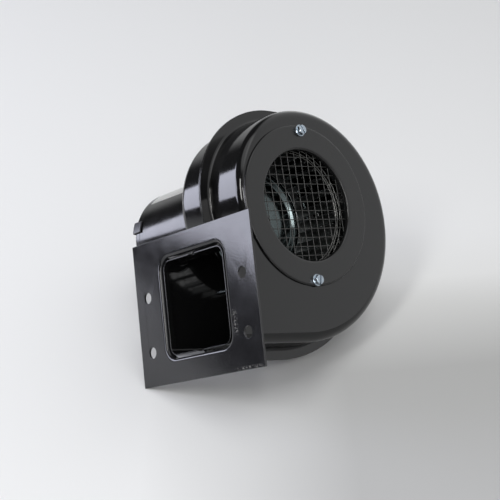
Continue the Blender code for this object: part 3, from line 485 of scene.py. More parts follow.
# %% Metals, each with its own grain
def metal(name, base, roughness, grain_per_metre, stretch=(1.0, 1.0, 1.0), height=0.0, shade_by=0.25):
    """A bare or plated metal. Its grain darkens the colour by a share and moves the roughness."""
    material, shader = new_material(name, base, roughness[0], 1.0)
    point = object_point(material, stretch)
    grain = noise(material, point, grain_per_metre, 5.0, 0.6)
    uneven_gloss(material, shader, grain, *roughness)
    darker = [c * (1 - shade_by) for c in base]
    amount = spread(material, grain, 0, GRAIN_LOW, NOISE_HIGH).outputs["Result"]
    mixed_colour(material, shader, amount, (*base, 1.0), (*darker, 1.0))
    if height:
        ripple(material, shader, grain, height)
    return material


ALONG_AXIS = (1.0, 0.08, 1.0)
ZINC = metal("bright_zinc", (0.42, 0.48, 0.54), (0.12, 0.3), 900.0, height=0.000008)
WHEEL_STEEL = metal("wheel_strip_steel", (0.34, 0.35, 0.35), (0.33, 0.46), 300.0, ALONG_AXIS, 0.000004, 0.4)
RING_STEEL = metal("wheel_ring_steel", (0.17, 0.17, 0.162), (0.14, 0.24), 500.0, height=0.000004)
DISH_STEEL = metal("dish_steel", (0.10, 0.120, 0.122), (0.13, 0.2), 60.0, shade_by=0.15)
HUB_STEEL = metal("hub_steel", (0.50, 0.50, 0.50), (0.2, 0.35), 900.0, (1.0, 6.0, 1.0), 0.000004)
SHAFT_STEEL = metal("shaft_steel", (0.60, 0.60, 0.61), (0.12, 0.2), 900.0, (0.1, 8.0, 0.1))
SCREW_STEEL = metal("set_screw_steel", (0.08, 0.08, 0.09), (0.3, 0.45), 1200.0)
LAMINATION = metal("stack_steel", (0.22, 0.22, 0.23), (0.45, 0.65), 1500.0, (0.02, 1.0, 0.02), 0.00003, 0.5)
ROTOR_METAL = metal("rotor_metal", (0.32, 0.32, 0.34), (0.35, 0.5), 800.0, (1.0, 5.0, 1.0), 0.000006)
COPPER = metal("copper_winding", (0.60, 0.22, 0.08), (0.25, 0.4), 1400.0, (1.0, 0.05, 1.0), 0.00005, 0.5)
BRONZE = metal("sintered_bronze", (0.50, 0.33, 0.15), (0.4, 0.6), 2500.0, height=0.00001)
SPRING = metal("spring_steel", (0.45, 0.45, 0.47), (0.2, 0.35), 900.0)
FOIL = metal("plain_foil", (0.80, 0.80, 0.78), (0.28, 0.4), 400.0, (1.0, 0.1, 1.0), 0.000004, 0.1)


DULL_RANGE = 0.1


def dull(name, base, roughness, per_metre, height):
    """A non-metal with a fine tooth, such as rubber or pressed fibre."""
    material, shader = new_material(name, base, roughness)
    tooth = noise(material, object_point(material), per_metre, 6.0)
    ripple(material, shader, tooth, height)
    uneven_gloss(material, shader, tooth, roughness * (1 - DULL_RANGE), roughness * (1 + DULL_RANGE))
    return material


RUBBER = dull("soft_rubber", (0.018, 0.018, 0.018), 0.7, 1500.0, 0.00002)
FIBRE = dull("pressed_fibre", (0.42, 0.22, 0.08), 0.6, 1800.0, 0.00002)
print("materials made:", len(bpy.data.materials))

# %% [markdown]
# ## The scroll shells
#
# The housing is two drawn steel shells that meet in the middle plane, where a flat rim on each is spot
# welded to the other. Their outline is a linear spiral: the same growth for each degree of turn keeps the
# air's speed even. It runs level under the wheel into the duct's floor, and on the other side it turns back
# round a tongue into the duct's roof. A lofted or bent box would lose that shape, so the outline is written
# as stations, each a point with its outward direction, and the shell's drawn section is set up at every
# station.

# %% Stations round the scroll's outline
SPIRAL_STEPS = 150
BEND_STEPS = 14
HALVINGS = 60


def spiral(turn):
    """A point (x, z) on the wall and its outward direction. The turn runs from the left over the top."""
    radius = SPIRAL_START + SPIRAL_GROWTH * turn
    point = Vector((-radius * math.cos(turn), radius * math.sin(turn)))
    along = Vector((
        -SPIRAL_GROWTH * math.cos(turn) + radius * math.sin(turn),
        SPIRAL_GROWTH * math.sin(turn) + radius * math.cos(turn),
    )).normalized()
    return point, Vector((-along.y, along.x))


def zero_between(function, low, high):
    """Where a function that rises from low to high passes zero."""
    for _ in range(HALVINGS):
        middle = (low + high) / 2
        low, high = (middle, high) if function(middle) < 0 else (low, middle)
    return (low + high) / 2


FLOOR_TURN = zero_between(lambda t: -spiral(t)[1].x, QUARTER * 5 / 2, QUARTER * 7 / 2)
FLOOR_Z = spiral(FLOOR_TURN)[0].y
ROOF_Z = FLOOR_Z + DUCT_HEIGHT


def tongue_centre(turn):
    """The middle of the tongue's rounding, if it left the spiral at this turn."""
    point, outward = spiral(turn)
    return point + outward * TONGUE_RADIUS


TONGUE_TURN = zero_between(lambda t: tongue_centre(t).y - ROOF_Z - TONGUE_RADIUS, -QUARTER, math.pi / 6)
TONGUE = tongue_centre(TONGUE_TURN)


def outline_stations():
    """(point, outward) from the duct's floor at the outlet, round the scroll, to its roof there."""
    straight = [DUCT_EDGE_X, RIM_END_X - GAP, RIM_END_X + GAP, TONGUE.x]
    floor = [(Vector((x, FLOOR_Z)), Vector((0, -1))) for x in straight]
    roof = [(Vector((x, ROOF_Z)), Vector((0, 1))) for x in reversed(straight)]
    wall = []
    for i in range(SPIRAL_STEPS + 1):
        wall.append(spiral(FLOOR_TURN + (TONGUE_TURN - FLOOR_TURN) * i / SPIRAL_STEPS))
    outward = wall[-1][1]
    start = math.atan2(outward.y, outward.x) % FULL_TURN
    bend = []
    for c, s in arc((0, 0), 1, start, QUARTER, BEND_STEPS)[1:-1]:
        bend.append((TONGUE - Vector((c, s)) * TONGUE_RADIUS, Vector((c, s))))
    return floor + wall + bend + roof


STATIONS = outline_stations()
print("stations:", len(STATIONS))
print("duct's floor and roof at", [round(z * IN_MM, 1) for z in (FLOOR_Z, ROOF_Z)], "mm")

# %% [markdown]
# ## One shell from its section
#
# A press draws the wall out of a flat sheet, so the section starts on the flat, runs over a rounded edge,
# down the wall and out into the rim. The flat itself is filled last, between the outline and the hole,
# whose edge is drawn in as a collar on the inlet's side. The second shell is the same one mirrored, with a
# plain hole.

# %% The drawn section, and one shell from it
NECK_COUNT = 4
RIM_FACE = MID_DEPTH - GAP / 2
COLLAR_RADIUS = 0.0432
COLLAR_ROUNDING = 0.0028
COLLAR_DEPTH = 0.008
COLLAR_STEPS = 6
SUPPORT = 0.0012
EDGE_STEPS = 10
FILLET_STEPS = 5
BARE_STATIONS = 2
SHELL_EDGE = 0.00018


def drawn_section():
    """(reach outwards, depth) from the flat face over the rounded edge, down the wall, to the rim's edge."""
    edge = arc((-EDGE_ROUNDING, EDGE_ROUNDING), EDGE_ROUNDING, -QUARTER, 0, EDGE_STEPS)
    rim_front = RIM_FACE - SHEET
    fillet = arc((RIM_FILLET, rim_front - RIM_FILLET), RIM_FILLET, 2 * QUARTER, QUARTER, FILLET_STEPS)
    return [(-EDGE_ROUNDING - SUPPORT, 0)] + edge, fillet + [(RIM_WIDTH, rim_front)]


def neck_share(x):
    """How much of its depth the housing keeps at x: the duct is a little narrower than the scroll."""
    return DUCT_WIDTH / DEPTH if x < RIM_END_X else 1.0


def circle_points(radius, centre=(0, 0), steps=ROUND_STEPS):
    """Points (u, v) round a circle, each one once."""
    return arc(centre, radius, 0, FULL_TURN, steps)[:-1]


def shell_surface(name, hole_radius, collar, mirrored):
    """The surface of one shell, whose sheet is added later. Near the duct's end the wall has no rim."""
    bm = bmesh.new()
    edge, rim = drawn_section()

    def vert(station, reach, depth):
        point, outward = station
        x, z = point + outward * reach
        return bm.verts.new((x, MID_DEPTH - (MID_DEPTH - depth) * neck_share(point.x), z))

    columns = []
    for i, station in enumerate(STATIONS):
        bare = min(i, len(STATIONS) - 1 - i) < BARE_STATIONS
        line = edge + (rim[:1] if bare else rim)
        columns.append([vert(station, reach, depth) for reach, depth in line])
    for left, right in zip(columns, columns[1:]):
        for j in range(min(len(left), len(right)) - 1):
            bm.faces.new([left[j], left[j + 1], right[j + 1], right[j]])
    for k in range(NECK_COUNT - 1):
        bm.faces.new([columns[k][0], columns[k + 1][0], columns[-k - 2][0], columns[-k - 1][0]])
    flat = hole_radius + (COLLAR_ROUNDING if collar else 0)
    lines = [(flat + SUPPORT, 0), (flat, 0)]
    if collar:
        lines += arc((flat, COLLAR_ROUNDING), COLLAR_ROUNDING, -QUARTER, -2 * QUARTER, COLLAR_STEPS)[1:]
        lines.append((hole_radius, COLLAR_DEPTH))
    rings = [[bm.verts.new((x, depth, z)) for x, z in circle_points(radius)] for radius, depth in lines]
    for ring, deeper in zip(rings, rings[1:]):
        join_rings(bm, ring, deeper)
    border = [column[0] for column in columns[NECK_COUNT - 1: 1 - NECK_COUNT]]
    edges = edges_round(bm, border) + edges_round(bm, rings[0])
    if mirrored:
        for v in bm.verts:
            v.co.y = DEPTH - v.co.y
    fill_flat(bm, edges, (0, 1, 0) if mirrored else (0, -1, 0))
    return mesh_from(bm, name, recalculate=False)


def build_shell(name, node, hole_radius, collar, mirrored):
    """One shell in its place. Its points stay inside the solids' box, whose outline has flat facets."""
    mesh = shell_surface(name, hole_radius, collar, mirrored)
    shell = place_piece(name, mesh, SHELL_ENAMEL, HOUSING_BODY, [node])
    for vertex in mesh.vertices:
        vertex.co = [min(max(at, low), high) for at, low, high in zip(vertex.co, *SOLIDS_BOX)]
    add_wall(shell)
    break_edges(shell, SHELL_EDGE)
    print(name, "faces:", len(mesh.polygons))


MOTOR_OPENING_RADIUS = 0.0377
build_shell("front_shell", "front_scroll_shell", COLLAR_RADIUS, True, False)
build_shell("rear_shell", "rear_scroll_shell", MOTOR_OPENING_RADIUS, False, True)

# %% [markdown]
# ## The outlet flange
#
# A square-cornered plate is pushed over the duct and welded from behind. The edge of its opening is rolled
# back round the duct, so a soft bright line runs round the opening, with a dark gap and the duct's raw edge
# inside it. The flat is filled between the outer corners, the bolt holes and the roll's first loop.

# %% Flange with a rolled opening
FLANGE_THICKNESS = 0.0016
FLANGE_WIDTH = 0.127
FLANGE_HEIGHT = 0.100
FLANGE_DROP = 0.0183
LIP_MARGIN = 0.004
LIP_ROUNDING = 0.0022
LIP_DEPTH = 0.005
BOLT_ACROSS = 0.1016
BOLT_UP = 0.0381
BOLT_LOWER_MARGIN = 0.0233
BOLT_HOLE_RADIUS = 0.00395
BOLT_HOLE_STEPS = 40
CORNER_STEPS = 12
LIP_STEPS = 7
FLANGE_EDGE = 0.00022


def rounded_rectangle(centre, half_width, half_height, radius):
    """Points (u, v) round a rectangle with rounded corners, from the upper right."""
    points = []
    for corner in range(4):
        side_u = 1 if corner in (0, 3) else -1
        side_v = 1 if corner in (0, 1) else -1
        middle = (centre[0] + side_u * (half_width - radius), centre[1] + side_v * (half_height - radius))
        points += arc(middle, radius, corner * QUARTER, (corner + 1) * QUARTER, CORNER_STEPS)
    return points


def flange_surface():
    """The flat with its bolt holes, and the roll round the opening."""
    bm = bmesh.new()
    low = FLOOR_Z - FLANGE_DROP
    centre = (MID_DEPTH, (FLOOR_Z + ROOF_Z) / 2)

    def loop_at(points, depth):
        return [bm.verts.new((FLANGE_X + depth, y, z)) for y, z in points]

    half = FLANGE_WIDTH / 2
    corners = [(-half, low), (half, low), (half, low + FLANGE_HEIGHT), (-half, low + FLANGE_HEIGHT)]
    edges = edges_round(bm, loop_at([(MID_DEPTH + y, z) for y, z in corners], 0))
    for side in (-1, 1):
        for row in (0, 1):
            middle = (MID_DEPTH + side * BOLT_ACROSS / 2, low + BOLT_LOWER_MARGIN + row * BOLT_UP)
            hole = circle_points(BOLT_HOLE_RADIUS, middle, BOLT_HOLE_STEPS)
            edges += edges_round(bm, loop_at(hole, 0))
    roll = arc((0, LIP_ROUNDING), LIP_ROUNDING, -QUARTER, 0, LIP_STEPS)
    lip = [(-SUPPORT, 0)] + roll + [(LIP_ROUNDING, LIP_DEPTH)]
    ring = None
    for inset, depth in lip:
        half_width = DUCT_WIDTH / 2 + LIP_MARGIN - inset
        half_height = DUCT_HEIGHT / 2 + LIP_MARGIN - inset
        corner = EDGE_ROUNDING + LIP_MARGIN - inset
        deeper = loop_at(rounded_rectangle(centre, half_width, half_height, corner), depth)
        if ring is None:
            edges += edges_round(bm, deeper)
        else:
            join_rings(bm, ring, deeper)
        ring = deeper
    fill_flat(bm, edges, (-1, 0, 0))
    return mesh_from(bm, "outlet_plate", recalculate=False)


flange = place_piece(
    "outlet_plate", flange_surface(), FLANGE_ENAMEL, HOUSING_BODY, ["outlet_flange"],
)
add_wall(flange, FLANGE_THICKNESS)
break_edges(flange, FLANGE_EDGE)
print("flange faces:", len(flange.data.polygons))

# %% [markdown]
# ## The inlet ring
#
# A turned line makes the ring: its outer edge is drawn down to the scroll's face, and its hole is curled
# inwards, which stiffens it and leaves the soft inner edge that the photograph shows.

# %% Ring with a curled hole
RING_RADIUS = 0.05715
RING_HOLE_RADIUS = 0.0394
RING_STAND = 0.0016
RING_EDGE_ROUNDING = 0.0014
RING_CURL_ROUNDING = 0.002
RING_CURL_DEPTH = 0.0036
RING_FRONT = -GAP - RING_STAND

RING_EDGE_STEPS = 6
RING_CURL_STEPS = 7

edge_radius = RING_RADIUS - RING_EDGE_ROUNDING
edge_middle = (edge_radius, RING_FRONT + RING_EDGE_ROUNDING)
curl_radius = RING_HOLE_RADIUS + RING_CURL_ROUNDING
curl_middle = (curl_radius, RING_FRONT + RING_CURL_ROUNDING)
ring_line = [(RING_RADIUS, -GAP)]
ring_line += arc(edge_middle, RING_EDGE_ROUNDING, 0, -QUARTER, RING_EDGE_STEPS)
ring_line += [(edge_radius - SUPPORT, RING_FRONT), (curl_radius + SUPPORT, RING_FRONT)]
ring_line += arc(curl_middle, RING_CURL_ROUNDING, -QUARTER, -2 * QUARTER, RING_CURL_STEPS)
ring_line += [(RING_HOLE_RADIUS, RING_FRONT + RING_CURL_DEPTH)]
inlet_ring = place_piece(
    "curled_ring", turned("curled_ring", ring_line), RING_ENAMEL, HOUSING_BODY, ["inlet_ring"],
)
add_wall(inlet_ring)
break_edges(inlet_ring)
print("ring faces:", len(inlet_ring.data.polygons))

# %% [markdown]
# ## Growing what repeats with Geometry Nodes
#
# Blades, wires, screws and clips repeat by a rule, and a rule belongs in a node tree: one input for each
# size, one tree for each kind of pattern. The tree makes instances, Realize Instances turns them into real
# faces, and the evaluated result is copied into a plain mesh, which is then placed like any other piece.

# %% Helpers for geometry trees
def new_tree(name, inputs):
    """An empty geometry tree with its named inputs, and its input node."""
    tree = bpy.data.node_groups.new(name, "GeometryNodeTree")
    tree.interface.new_socket("Geometry", in_out="INPUT", socket_type="NodeSocketGeometry")
    tree.interface.new_socket("Geometry", in_out="OUTPUT", socket_type="NodeSocketGeometry")
    for label, kind in inputs.items():
        tree.interface.new_socket(label, in_out="INPUT", socket_type="NodeSocket" + kind)
    return tree, tree.nodes.new("NodeGroupInput")


def tree_node(tree, kind, **sockets):
    """Adds a node. Each input is named, with _ for a space, and takes a value or another node's output."""
    node = tree.nodes.new(kind)
    for key, value in sockets.items():
        target = node.inputs[key.replace("_", " ")]
        if isinstance(value, bpy.types.NodeSocket):
            tree.links.new(value, target)
        else:
            target.default_value = value
    return node


def vector_of(tree, **parts):
    """A vector's output from its named parts."""
    return tree_node(tree, "ShaderNodeCombineXYZ", **parts).outputs[0]


def close_tree(tree, inputs, geometry):
    """Ends a tree: real faces and the finish."""
    real = tree_node(tree, "GeometryNodeRealizeInstances", Geometry=geometry)
    finish = tree_node(
        tree, "GeometryNodeSetMaterial", Geometry=real.outputs[0], Material=inputs.outputs["Finish"],
    )
    tree_node(tree, "NodeGroupOutput", Geometry=finish.outputs[0])


def finished_mesh(obj, name):
    """The object's mesh with its modifiers worked in. The object itself is then removed."""
    graph = bpy.context.evaluated_depsgraph_get()
    mesh = bpy.data.meshes.new_from_object(obj.evaluated_get(graph), depsgraph=graph)
    mesh.name = name
    bpy.data.objects.remove(obj)
    print(name, "faces:", len(mesh.polygons))
    return mesh


def grow(name, base, tree, values):
    """Runs a tree on a base mesh and returns the result as a plain mesh."""
    obj = new_object(name + "_seed", base)
    modifier = obj.modifiers.new("grow", "NODES")
    modifier.node_group = tree
    for item in tree.interface.items_tree:
        if item.in_out == "INPUT" and item.name in values:
            modifier[item.identifier] = values[item.name]
    return finished_mesh(obj, name)

# %% [markdown]
# ## Copies round an axis
#
# Blades and clips stand evenly round the wheel's axis, so their tree needs only how many there are and where
# the first one stands. The turn of each copy comes from its number in the row.

# %% Tree: copies of one piece round the wheel's axis
def copies_round_axis():
    """The base mesh is the piece."""
    tree, inputs = new_tree("copies_round_axis", {
        "Copies": "Int", "First Turn": "Float", "Finish": "Material",
    })
    given = inputs.outputs
    points = tree_node(tree, "GeometryNodePoints", Count=given["Copies"])
    index = tree_node(tree, "GeometryNodeInputIndex")
    step = math_of(tree, "DIVIDE", FULL_TURN, given["Copies"])
    turn = math_of(tree, "MULTIPLY", index.outputs["Index"], step)
    turn = math_of(tree, "ADD", turn, given["First Turn"])
    turn = math_of(tree, "MULTIPLY", turn, -1.0)
    copies = tree_node(
        tree, "GeometryNodeInstanceOnPoints", Points=points.outputs[0], Instance=given["Geometry"],
        Rotation=vector_of(tree, Y=turn),
    )
    close_tree(tree, inputs, copies.outputs[0])
    return tree


ROUND_AXIS = copies_round_axis()
print("inputs:", [item.name for item in ROUND_AXIS.interface.items_tree if item.in_out == "INPUT"])

# %% [markdown]
# ## Copies at marked places
#
# Screws stand wherever the metal has its holes, so this tree takes a mesh of places, one point for each
# screw, whose own attribute says how far that screw happened to be driven round.

# %% Tree: copies of one piece at marked places
def copies_at_places():
    """Each point of the base is a place, and its attribute turn says how far the copy is turned there."""
    tree, inputs = new_tree("copies_at_places", {"Piece": "Object", "Finish": "Material"})
    given = inputs.outputs
    piece = tree_node(tree, "GeometryNodeObjectInfo", Object=given["Piece"])
    turn = tree_node(tree, "GeometryNodeInputNamedAttribute", Name="turn")
    copies = tree_node(
        tree, "GeometryNodeInstanceOnPoints", Points=given["Geometry"], Instance=piece.outputs["Geometry"],
        Rotation=vector_of(tree, Y=turn.outputs["Attribute"]),
    )
    close_tree(tree, inputs, copies.outputs[0])
    return tree


AT_PLACES = copies_at_places()


def grow_at(name, piece_mesh, places, finish):
    """Copies of a mesh at (x, depth, z, turn) places."""
    base = bpy.data.meshes.new(name + "_places")
    base.from_pydata([place[:3] for place in places], [], [])
    turn = base.attributes.new("turn", "FLOAT", "POINT")
    for i, place in enumerate(places):
        turn.data[i].value = place[3]
    piece = new_object(name + "_piece", piece_mesh)
    mesh = grow(name, base, AT_PLACES, {"Piece": piece, "Finish": finish})
    bpy.data.objects.remove(piece)
    return mesh


print("trees:", [tree.name for tree in bpy.data.node_groups])

# %% [markdown]
# ## The wire guard
#
# The guard is a disc cut from welded mesh, quarter-inch between wires. One layer of wires runs up and down,
# the other across, and they sink into each other a little where they are welded. The tree lays a row of
# points, puts a unit wire on each, and stretches it to the disc's chord there. The second layer is the
# first, turned.

# %% Tree: a disc of crossed wires
WIRE_SIDES = 12


def wire_disc():
    """Two layers of parallel wires, each cut to the disc's edge."""
    tree, inputs = new_tree("wire_disc", {
        "Wires": "Int", "Pitch": "Float", "Wire Radius": "Float", "Disc Radius": "Float",
        "Layer Step": "Float", "Finish": "Material",
    })
    given = inputs.outputs
    last = math_of(tree, "SUBTRACT", given["Wires"], 1.0)
    span = math_of(tree, "MULTIPLY", last, given["Pitch"])
    start = math_of(tree, "MULTIPLY", span, -0.5)
    row = tree_node(
        tree, "GeometryNodeMeshLine", Count=given["Wires"], Start_Location=vector_of(tree, X=start),
        Offset=vector_of(tree, X=given["Pitch"]),
    )
    position = tree_node(tree, "GeometryNodeInputPosition")
    place = tree_node(tree, "ShaderNodeSeparateXYZ", Vector=position.outputs[0]).outputs["X"]
    across = math_of(tree, "MULTIPLY", place, place)
    reach = math_of(tree, "MULTIPLY", given["Disc Radius"], given["Disc Radius"])
    half = math_of(tree, "SQRT", math_of(tree, "SUBTRACT", reach, across))
    chord = math_of(tree, "MULTIPLY", half, 2.0)
    wire = tree_node(
        tree, "GeometryNodeMeshCylinder", Vertices=WIRE_SIDES, Side_Segments=1, Depth=1.0,
        Radius=given["Wire Radius"],
    )
    layer = tree_node(
        tree, "GeometryNodeInstanceOnPoints", Points=row.outputs["Mesh"], Instance=wire.outputs["Mesh"],
        Scale=vector_of(tree, X=1.0, Y=1.0, Z=chord),
    ).outputs[0]
    turned_layer = tree_node(
        tree, "GeometryNodeTransform", Geometry=layer, Rotation=(0, QUARTER, 0),
        Translation=vector_of(tree, Y=given["Layer Step"]),
    )
    both = tree.nodes.new("GeometryNodeJoinGeometry")
    tree.links.new(layer, both.inputs[0])
    tree.links.new(turned_layer.outputs[0], both.inputs[0])
    close_tree(tree, inputs, both.outputs[0])
    return tree

# %% [markdown]
# ## The guard in its place
#
# The disc is laid into the collar by hand before the ring goes on, so its wires never stand quite upright.
# It is turned by a few degrees and shifted a little, as the photograph shows it.

# %% The guard in its place
GUARD_WIRES = 14
GUARD_PITCH = 0.00635
GUARD_WIRE_RADIUS = 0.00029
GUARD_REACH = 0.0426
GUARD_LAYER_STEP = 0.0005
GUARD_FRONT = 0.0024
GUARD_SINK = 0.0001
GUARD_TURN = math.radians(3.2)
GUARD_SHIFT = 0.0004
guard_mesh = grow("wire_guard", bpy.data.meshes.new("nothing"), wire_disc(), {
    "Wires": GUARD_WIRES, "Pitch": GUARD_PITCH, "Wire Radius": GUARD_WIRE_RADIUS, "Disc Radius": GUARD_REACH,
    "Layer Step": GUARD_LAYER_STEP, "Finish": WIRE_ENAMEL,
})
guard_place = Matrix.Translation((GUARD_SHIFT, GUARD_FRONT - GUARD_SINK, 0))
guard_mesh.transform(guard_place @ Matrix.Rotation(-GUARD_TURN, 4, "Y"))
shade(guard_mesh)
place_piece("wire_guard", guard_mesh, WIRE_ENAMEL, HOUSING_BODY, ["inlet_guard"])

# %% [markdown]
# ## The wheel
#
# A forward-curved wheel is a strip of steel, punched and bent into short hollow blades, rolled into a drum
# and clinched between a front ring and a back plate. Each blade is a thin arc that hollows towards the way
# the wheel turns. One blade is drawn and the tree sets the rest round the axis.

# %% Blades and bands
WHEEL_RADIUS = 0.0476
WHEEL_FRONT = 0.012
WHEEL_BACK = 0.0515
WHEEL_SHEET = 0.0006
BLADE_COUNT = 28
BLADE_INNER_RADIUS = 0.0383
BLADE_SWEEP = math.radians(7)
BLADE_SAGITTA = 0.2
RING_INNER_RADIUS = 0.0419
BLADE_FRONT = WHEEL_FRONT + 2 * WHEEL_SHEET
BLADE_BACK = WHEEL_BACK - 2 * WHEEL_SHEET
BLADE_STEPS = 9
BACK_BAND_INNER_RADIUS = 0.039
THIN_EDGE = 0.0001


def polar(radius, angle):
    """A point (x, z) from its distance and direction."""
    return Vector((radius * math.cos(angle), radius * math.sin(angle)))


def blade_section():
    """The blade's closed outline, a thin arc from its inner edge to its outer one."""
    root = polar(BLADE_INNER_RADIUS, 0)
    tip = polar(WHEEL_RADIUS - 2 * WHEEL_SHEET, -BLADE_SWEEP)
    chord = tip - root
    back = Vector((-chord.y, chord.x)).normalized()
    sagitta = BLADE_SAGITTA * chord.length
    radius = (chord.length ** 2 / 4 + sagitta ** 2) / (2 * sagitta)
    centre = (root + tip) / 2 - back * (radius - sagitta)
    start = math.atan2(*(root - centre).yx)
    half = math.asin(chord.length / 2 / radius)
    outer = arc(centre, radius + WHEEL_SHEET / 2, start, start - 2 * half, BLADE_STEPS)
    inner = arc(centre, radius - WHEEL_SHEET / 2, start, start - 2 * half, BLADE_STEPS)
    return outer + inner[::-1]


blade_ends = [[(x, depth, z) for x, z in blade_section()] for depth in (BLADE_FRONT, BLADE_BACK)]
blade = lofted("one_blade", blade_ends)
wheel_values = {"Copies": BLADE_COUNT, "First Turn": 0.0, "Finish": WHEEL_STEEL}
blades_mesh = grow("curved_blades", blade, ROUND_AXIS, wheel_values)
blades = place_piece(
    "curved_blades", blades_mesh, WHEEL_STEEL, WHEEL_BODY, ["wheel_blade_cage"],
)
break_edges(blades, THIN_EDGE, 1)


def band(name, front, inner_radius):
    """A flat ring of the strip, at one end of the blades."""
    outer = WHEEL_RADIUS - WHEEL_SHEET - GAP
    back = front + WHEEL_SHEET
    line = [(inner_radius, front), (inner_radius, back), (outer, back), (outer, front)]
    mesh = turned(name, line, closed=True)
    piece = place_piece(name, mesh, WHEEL_STEEL, WHEEL_BODY)
    break_edges(piece, THIN_EDGE, 1)


band("front_band", WHEEL_FRONT + WHEEL_SHEET + GAP, RING_INNER_RADIUS + GAP)
band("back_band", BLADE_BACK - GAP, BACK_BAND_INNER_RADIUS)
print("blades:", BLADE_COUNT)

# %% [markdown]
# ## The wheel's front ring
#
# The front ring wraps a little way over the strip and holds it. Three thin beads stand out of its face, which
# catch the light as arcs behind the guard. It is round, so it is a turned line with a thin wall.

# %% Front ring with three raised beads
WHEEL_WRAP = 0.0032
BEAD_RADIUS = 0.00042
BEAD_PLACES = (0.0411, 0.0428, 0.0455)
BEAD_BACK = 0.0009
BEAD_DEPTH = WHEEL_FRONT + BEAD_BACK
BEAD_STEPS = 10
BEAD_WALL = 0.0003
ring_front_line = []
for place in BEAD_PLACES:
    ring_front_line += arc((place, BEAD_DEPTH), BEAD_RADIUS, -2 * QUARTER, 0, BEAD_STEPS)
ring_front_line += [(WHEEL_RADIUS - 2 * BEAD_RADIUS, BEAD_DEPTH)]
ring_front_line += [(WHEEL_RADIUS, BEAD_DEPTH + 2 * BEAD_RADIUS), (WHEEL_RADIUS, WHEEL_FRONT + WHEEL_WRAP)]
wheel_ring = place_piece(
    "wheel_rim_ring", turned("wheel_rim_ring", ring_front_line), RING_STEEL, WHEEL_BODY,
    ["wheel_front_ring"],
)
add_wall(wheel_ring, BEAD_WALL)
print("front ring's inner edge:", round((BEAD_PLACES[0] - BEAD_RADIUS) * IN_MM, 1), "mm from the axis")

# %% [markdown]
# ## The wheel's back plate
#
# The back plate is dished round the hub, and its bend mirrors a lamp as one broad crescent. The line falls
# from the rim to the dish's floor between two roundings of the same radius, and its slope follows from where
# a straight line touches both.

# %% Dished back plate
DISH_RIM_RADIUS = 0.0372
DISH_FLOOR_RADIUS = 0.0334
DISH_DEPTH = 0.0025
DISH_ROUNDING = 0.0015
HUB_RADIUS = 0.0065
BACK_LIP_ROUNDING = 0.0014
BACK_LIP_STEPS = 6
DISH_STEPS = 10
DISH_FLOOR = WHEEL_BACK + DISH_DEPTH
across = DISH_RIM_RADIUS - DISH_FLOOR_RADIUS
drop = DISH_DEPTH - 2 * DISH_ROUNDING
slope = math.atan2(drop, across) + math.asin(2 * DISH_ROUNDING / math.hypot(across, drop))
lip_middle = (WHEEL_RADIUS - BACK_LIP_ROUNDING, WHEEL_BACK - BACK_LIP_ROUNDING)
dish_line = [(WHEEL_RADIUS, WHEEL_BACK - WHEEL_WRAP)]
dish_line += arc(lip_middle, BACK_LIP_ROUNDING, 0, QUARTER, BACK_LIP_STEPS)
for middle, start, end in (
    ((DISH_RIM_RADIUS, WHEEL_BACK + DISH_ROUNDING), -QUARTER, -QUARTER - slope),
    ((DISH_FLOOR_RADIUS, DISH_FLOOR - DISH_ROUNDING), QUARTER - slope, QUARTER),
):
    dish_line += arc(middle, DISH_ROUNDING, start, end, DISH_STEPS)
dish_line += [(HUB_RADIUS + GAP, DISH_FLOOR)]
dish = place_piece(
    "dished_plate", turned("dished_plate", dish_line), DISH_STEEL, WHEEL_BODY,
    ["wheel_back_plate"],
)
add_wall(dish, WHEEL_SHEET)
print("dish slopes by", round(math.degrees(slope), 1), "degrees")

# %% [markdown]
# ## Pieces whose solid is already right
#
# The hub, the shaft, the set screw, the mounting plate and the grommet need no new shape, only clean shading
# and broken edges. Their solids are loose triangles, so a copy is merged first, and then shaded smooth by
# angle.

# %% A finer copy of a solid
FLAT_ANGLE = math.radians(0.5)
SET_SCREW_EDGE = 0.00008
GROMMET_EDGE = 0.0002


def refined(node, material, body, edge=EDGE_BREAK):
    """A copy of a solid with its flat faces made whole, in the solid's stead."""
    mesh = NODES[node].data.copy()
    bm = bmesh.new()
    bm.from_mesh(mesh)
    bmesh.ops.remove_doubles(bm, verts=bm.verts[:], dist=MERGE_DISTANCE)
    bmesh.ops.dissolve_limit(bm, angle_limit=FLAT_ANGLE, verts=bm.verts[:], edges=bm.edges[:])
    bm.to_mesh(mesh)
    bm.free()
    shade(mesh)
    mesh.transform(Matrix.Translation(-INLET))
    piece = place_piece("fine_" + node, mesh, material, body, [node])
    break_edges(piece, edge)
    print(piece.name, "faces:", len(mesh.polygons))


refined("wheel_hub", HUB_STEEL, WHEEL_BODY)
refined("motor_shaft", SHAFT_STEEL, WHEEL_BODY)
refined("hub_set_screw", SCREW_STEEL, WHEEL_BODY, SET_SCREW_EDGE)
refined("motor_mount_plate", MOTOR_ENAMEL, HOUSING_BODY)
refined("lead_grommet", RUBBER, HOUSING_BODY, GROMMET_EDGE)

# %% [markdown]
# ## The screws
#
# Two hexagonal washer-head screws hold the ring, and three more hold the motor. The head is a hexagon whose
# corners are turned off at the top, on a thin round washer, with a sawn slot. The hexagon and the turned-
# off cone meet in the curved lines that make such a head look real, and they come from one rule: at each
# angle the head reaches as far as the hexagon or the cone, whichever is nearer.

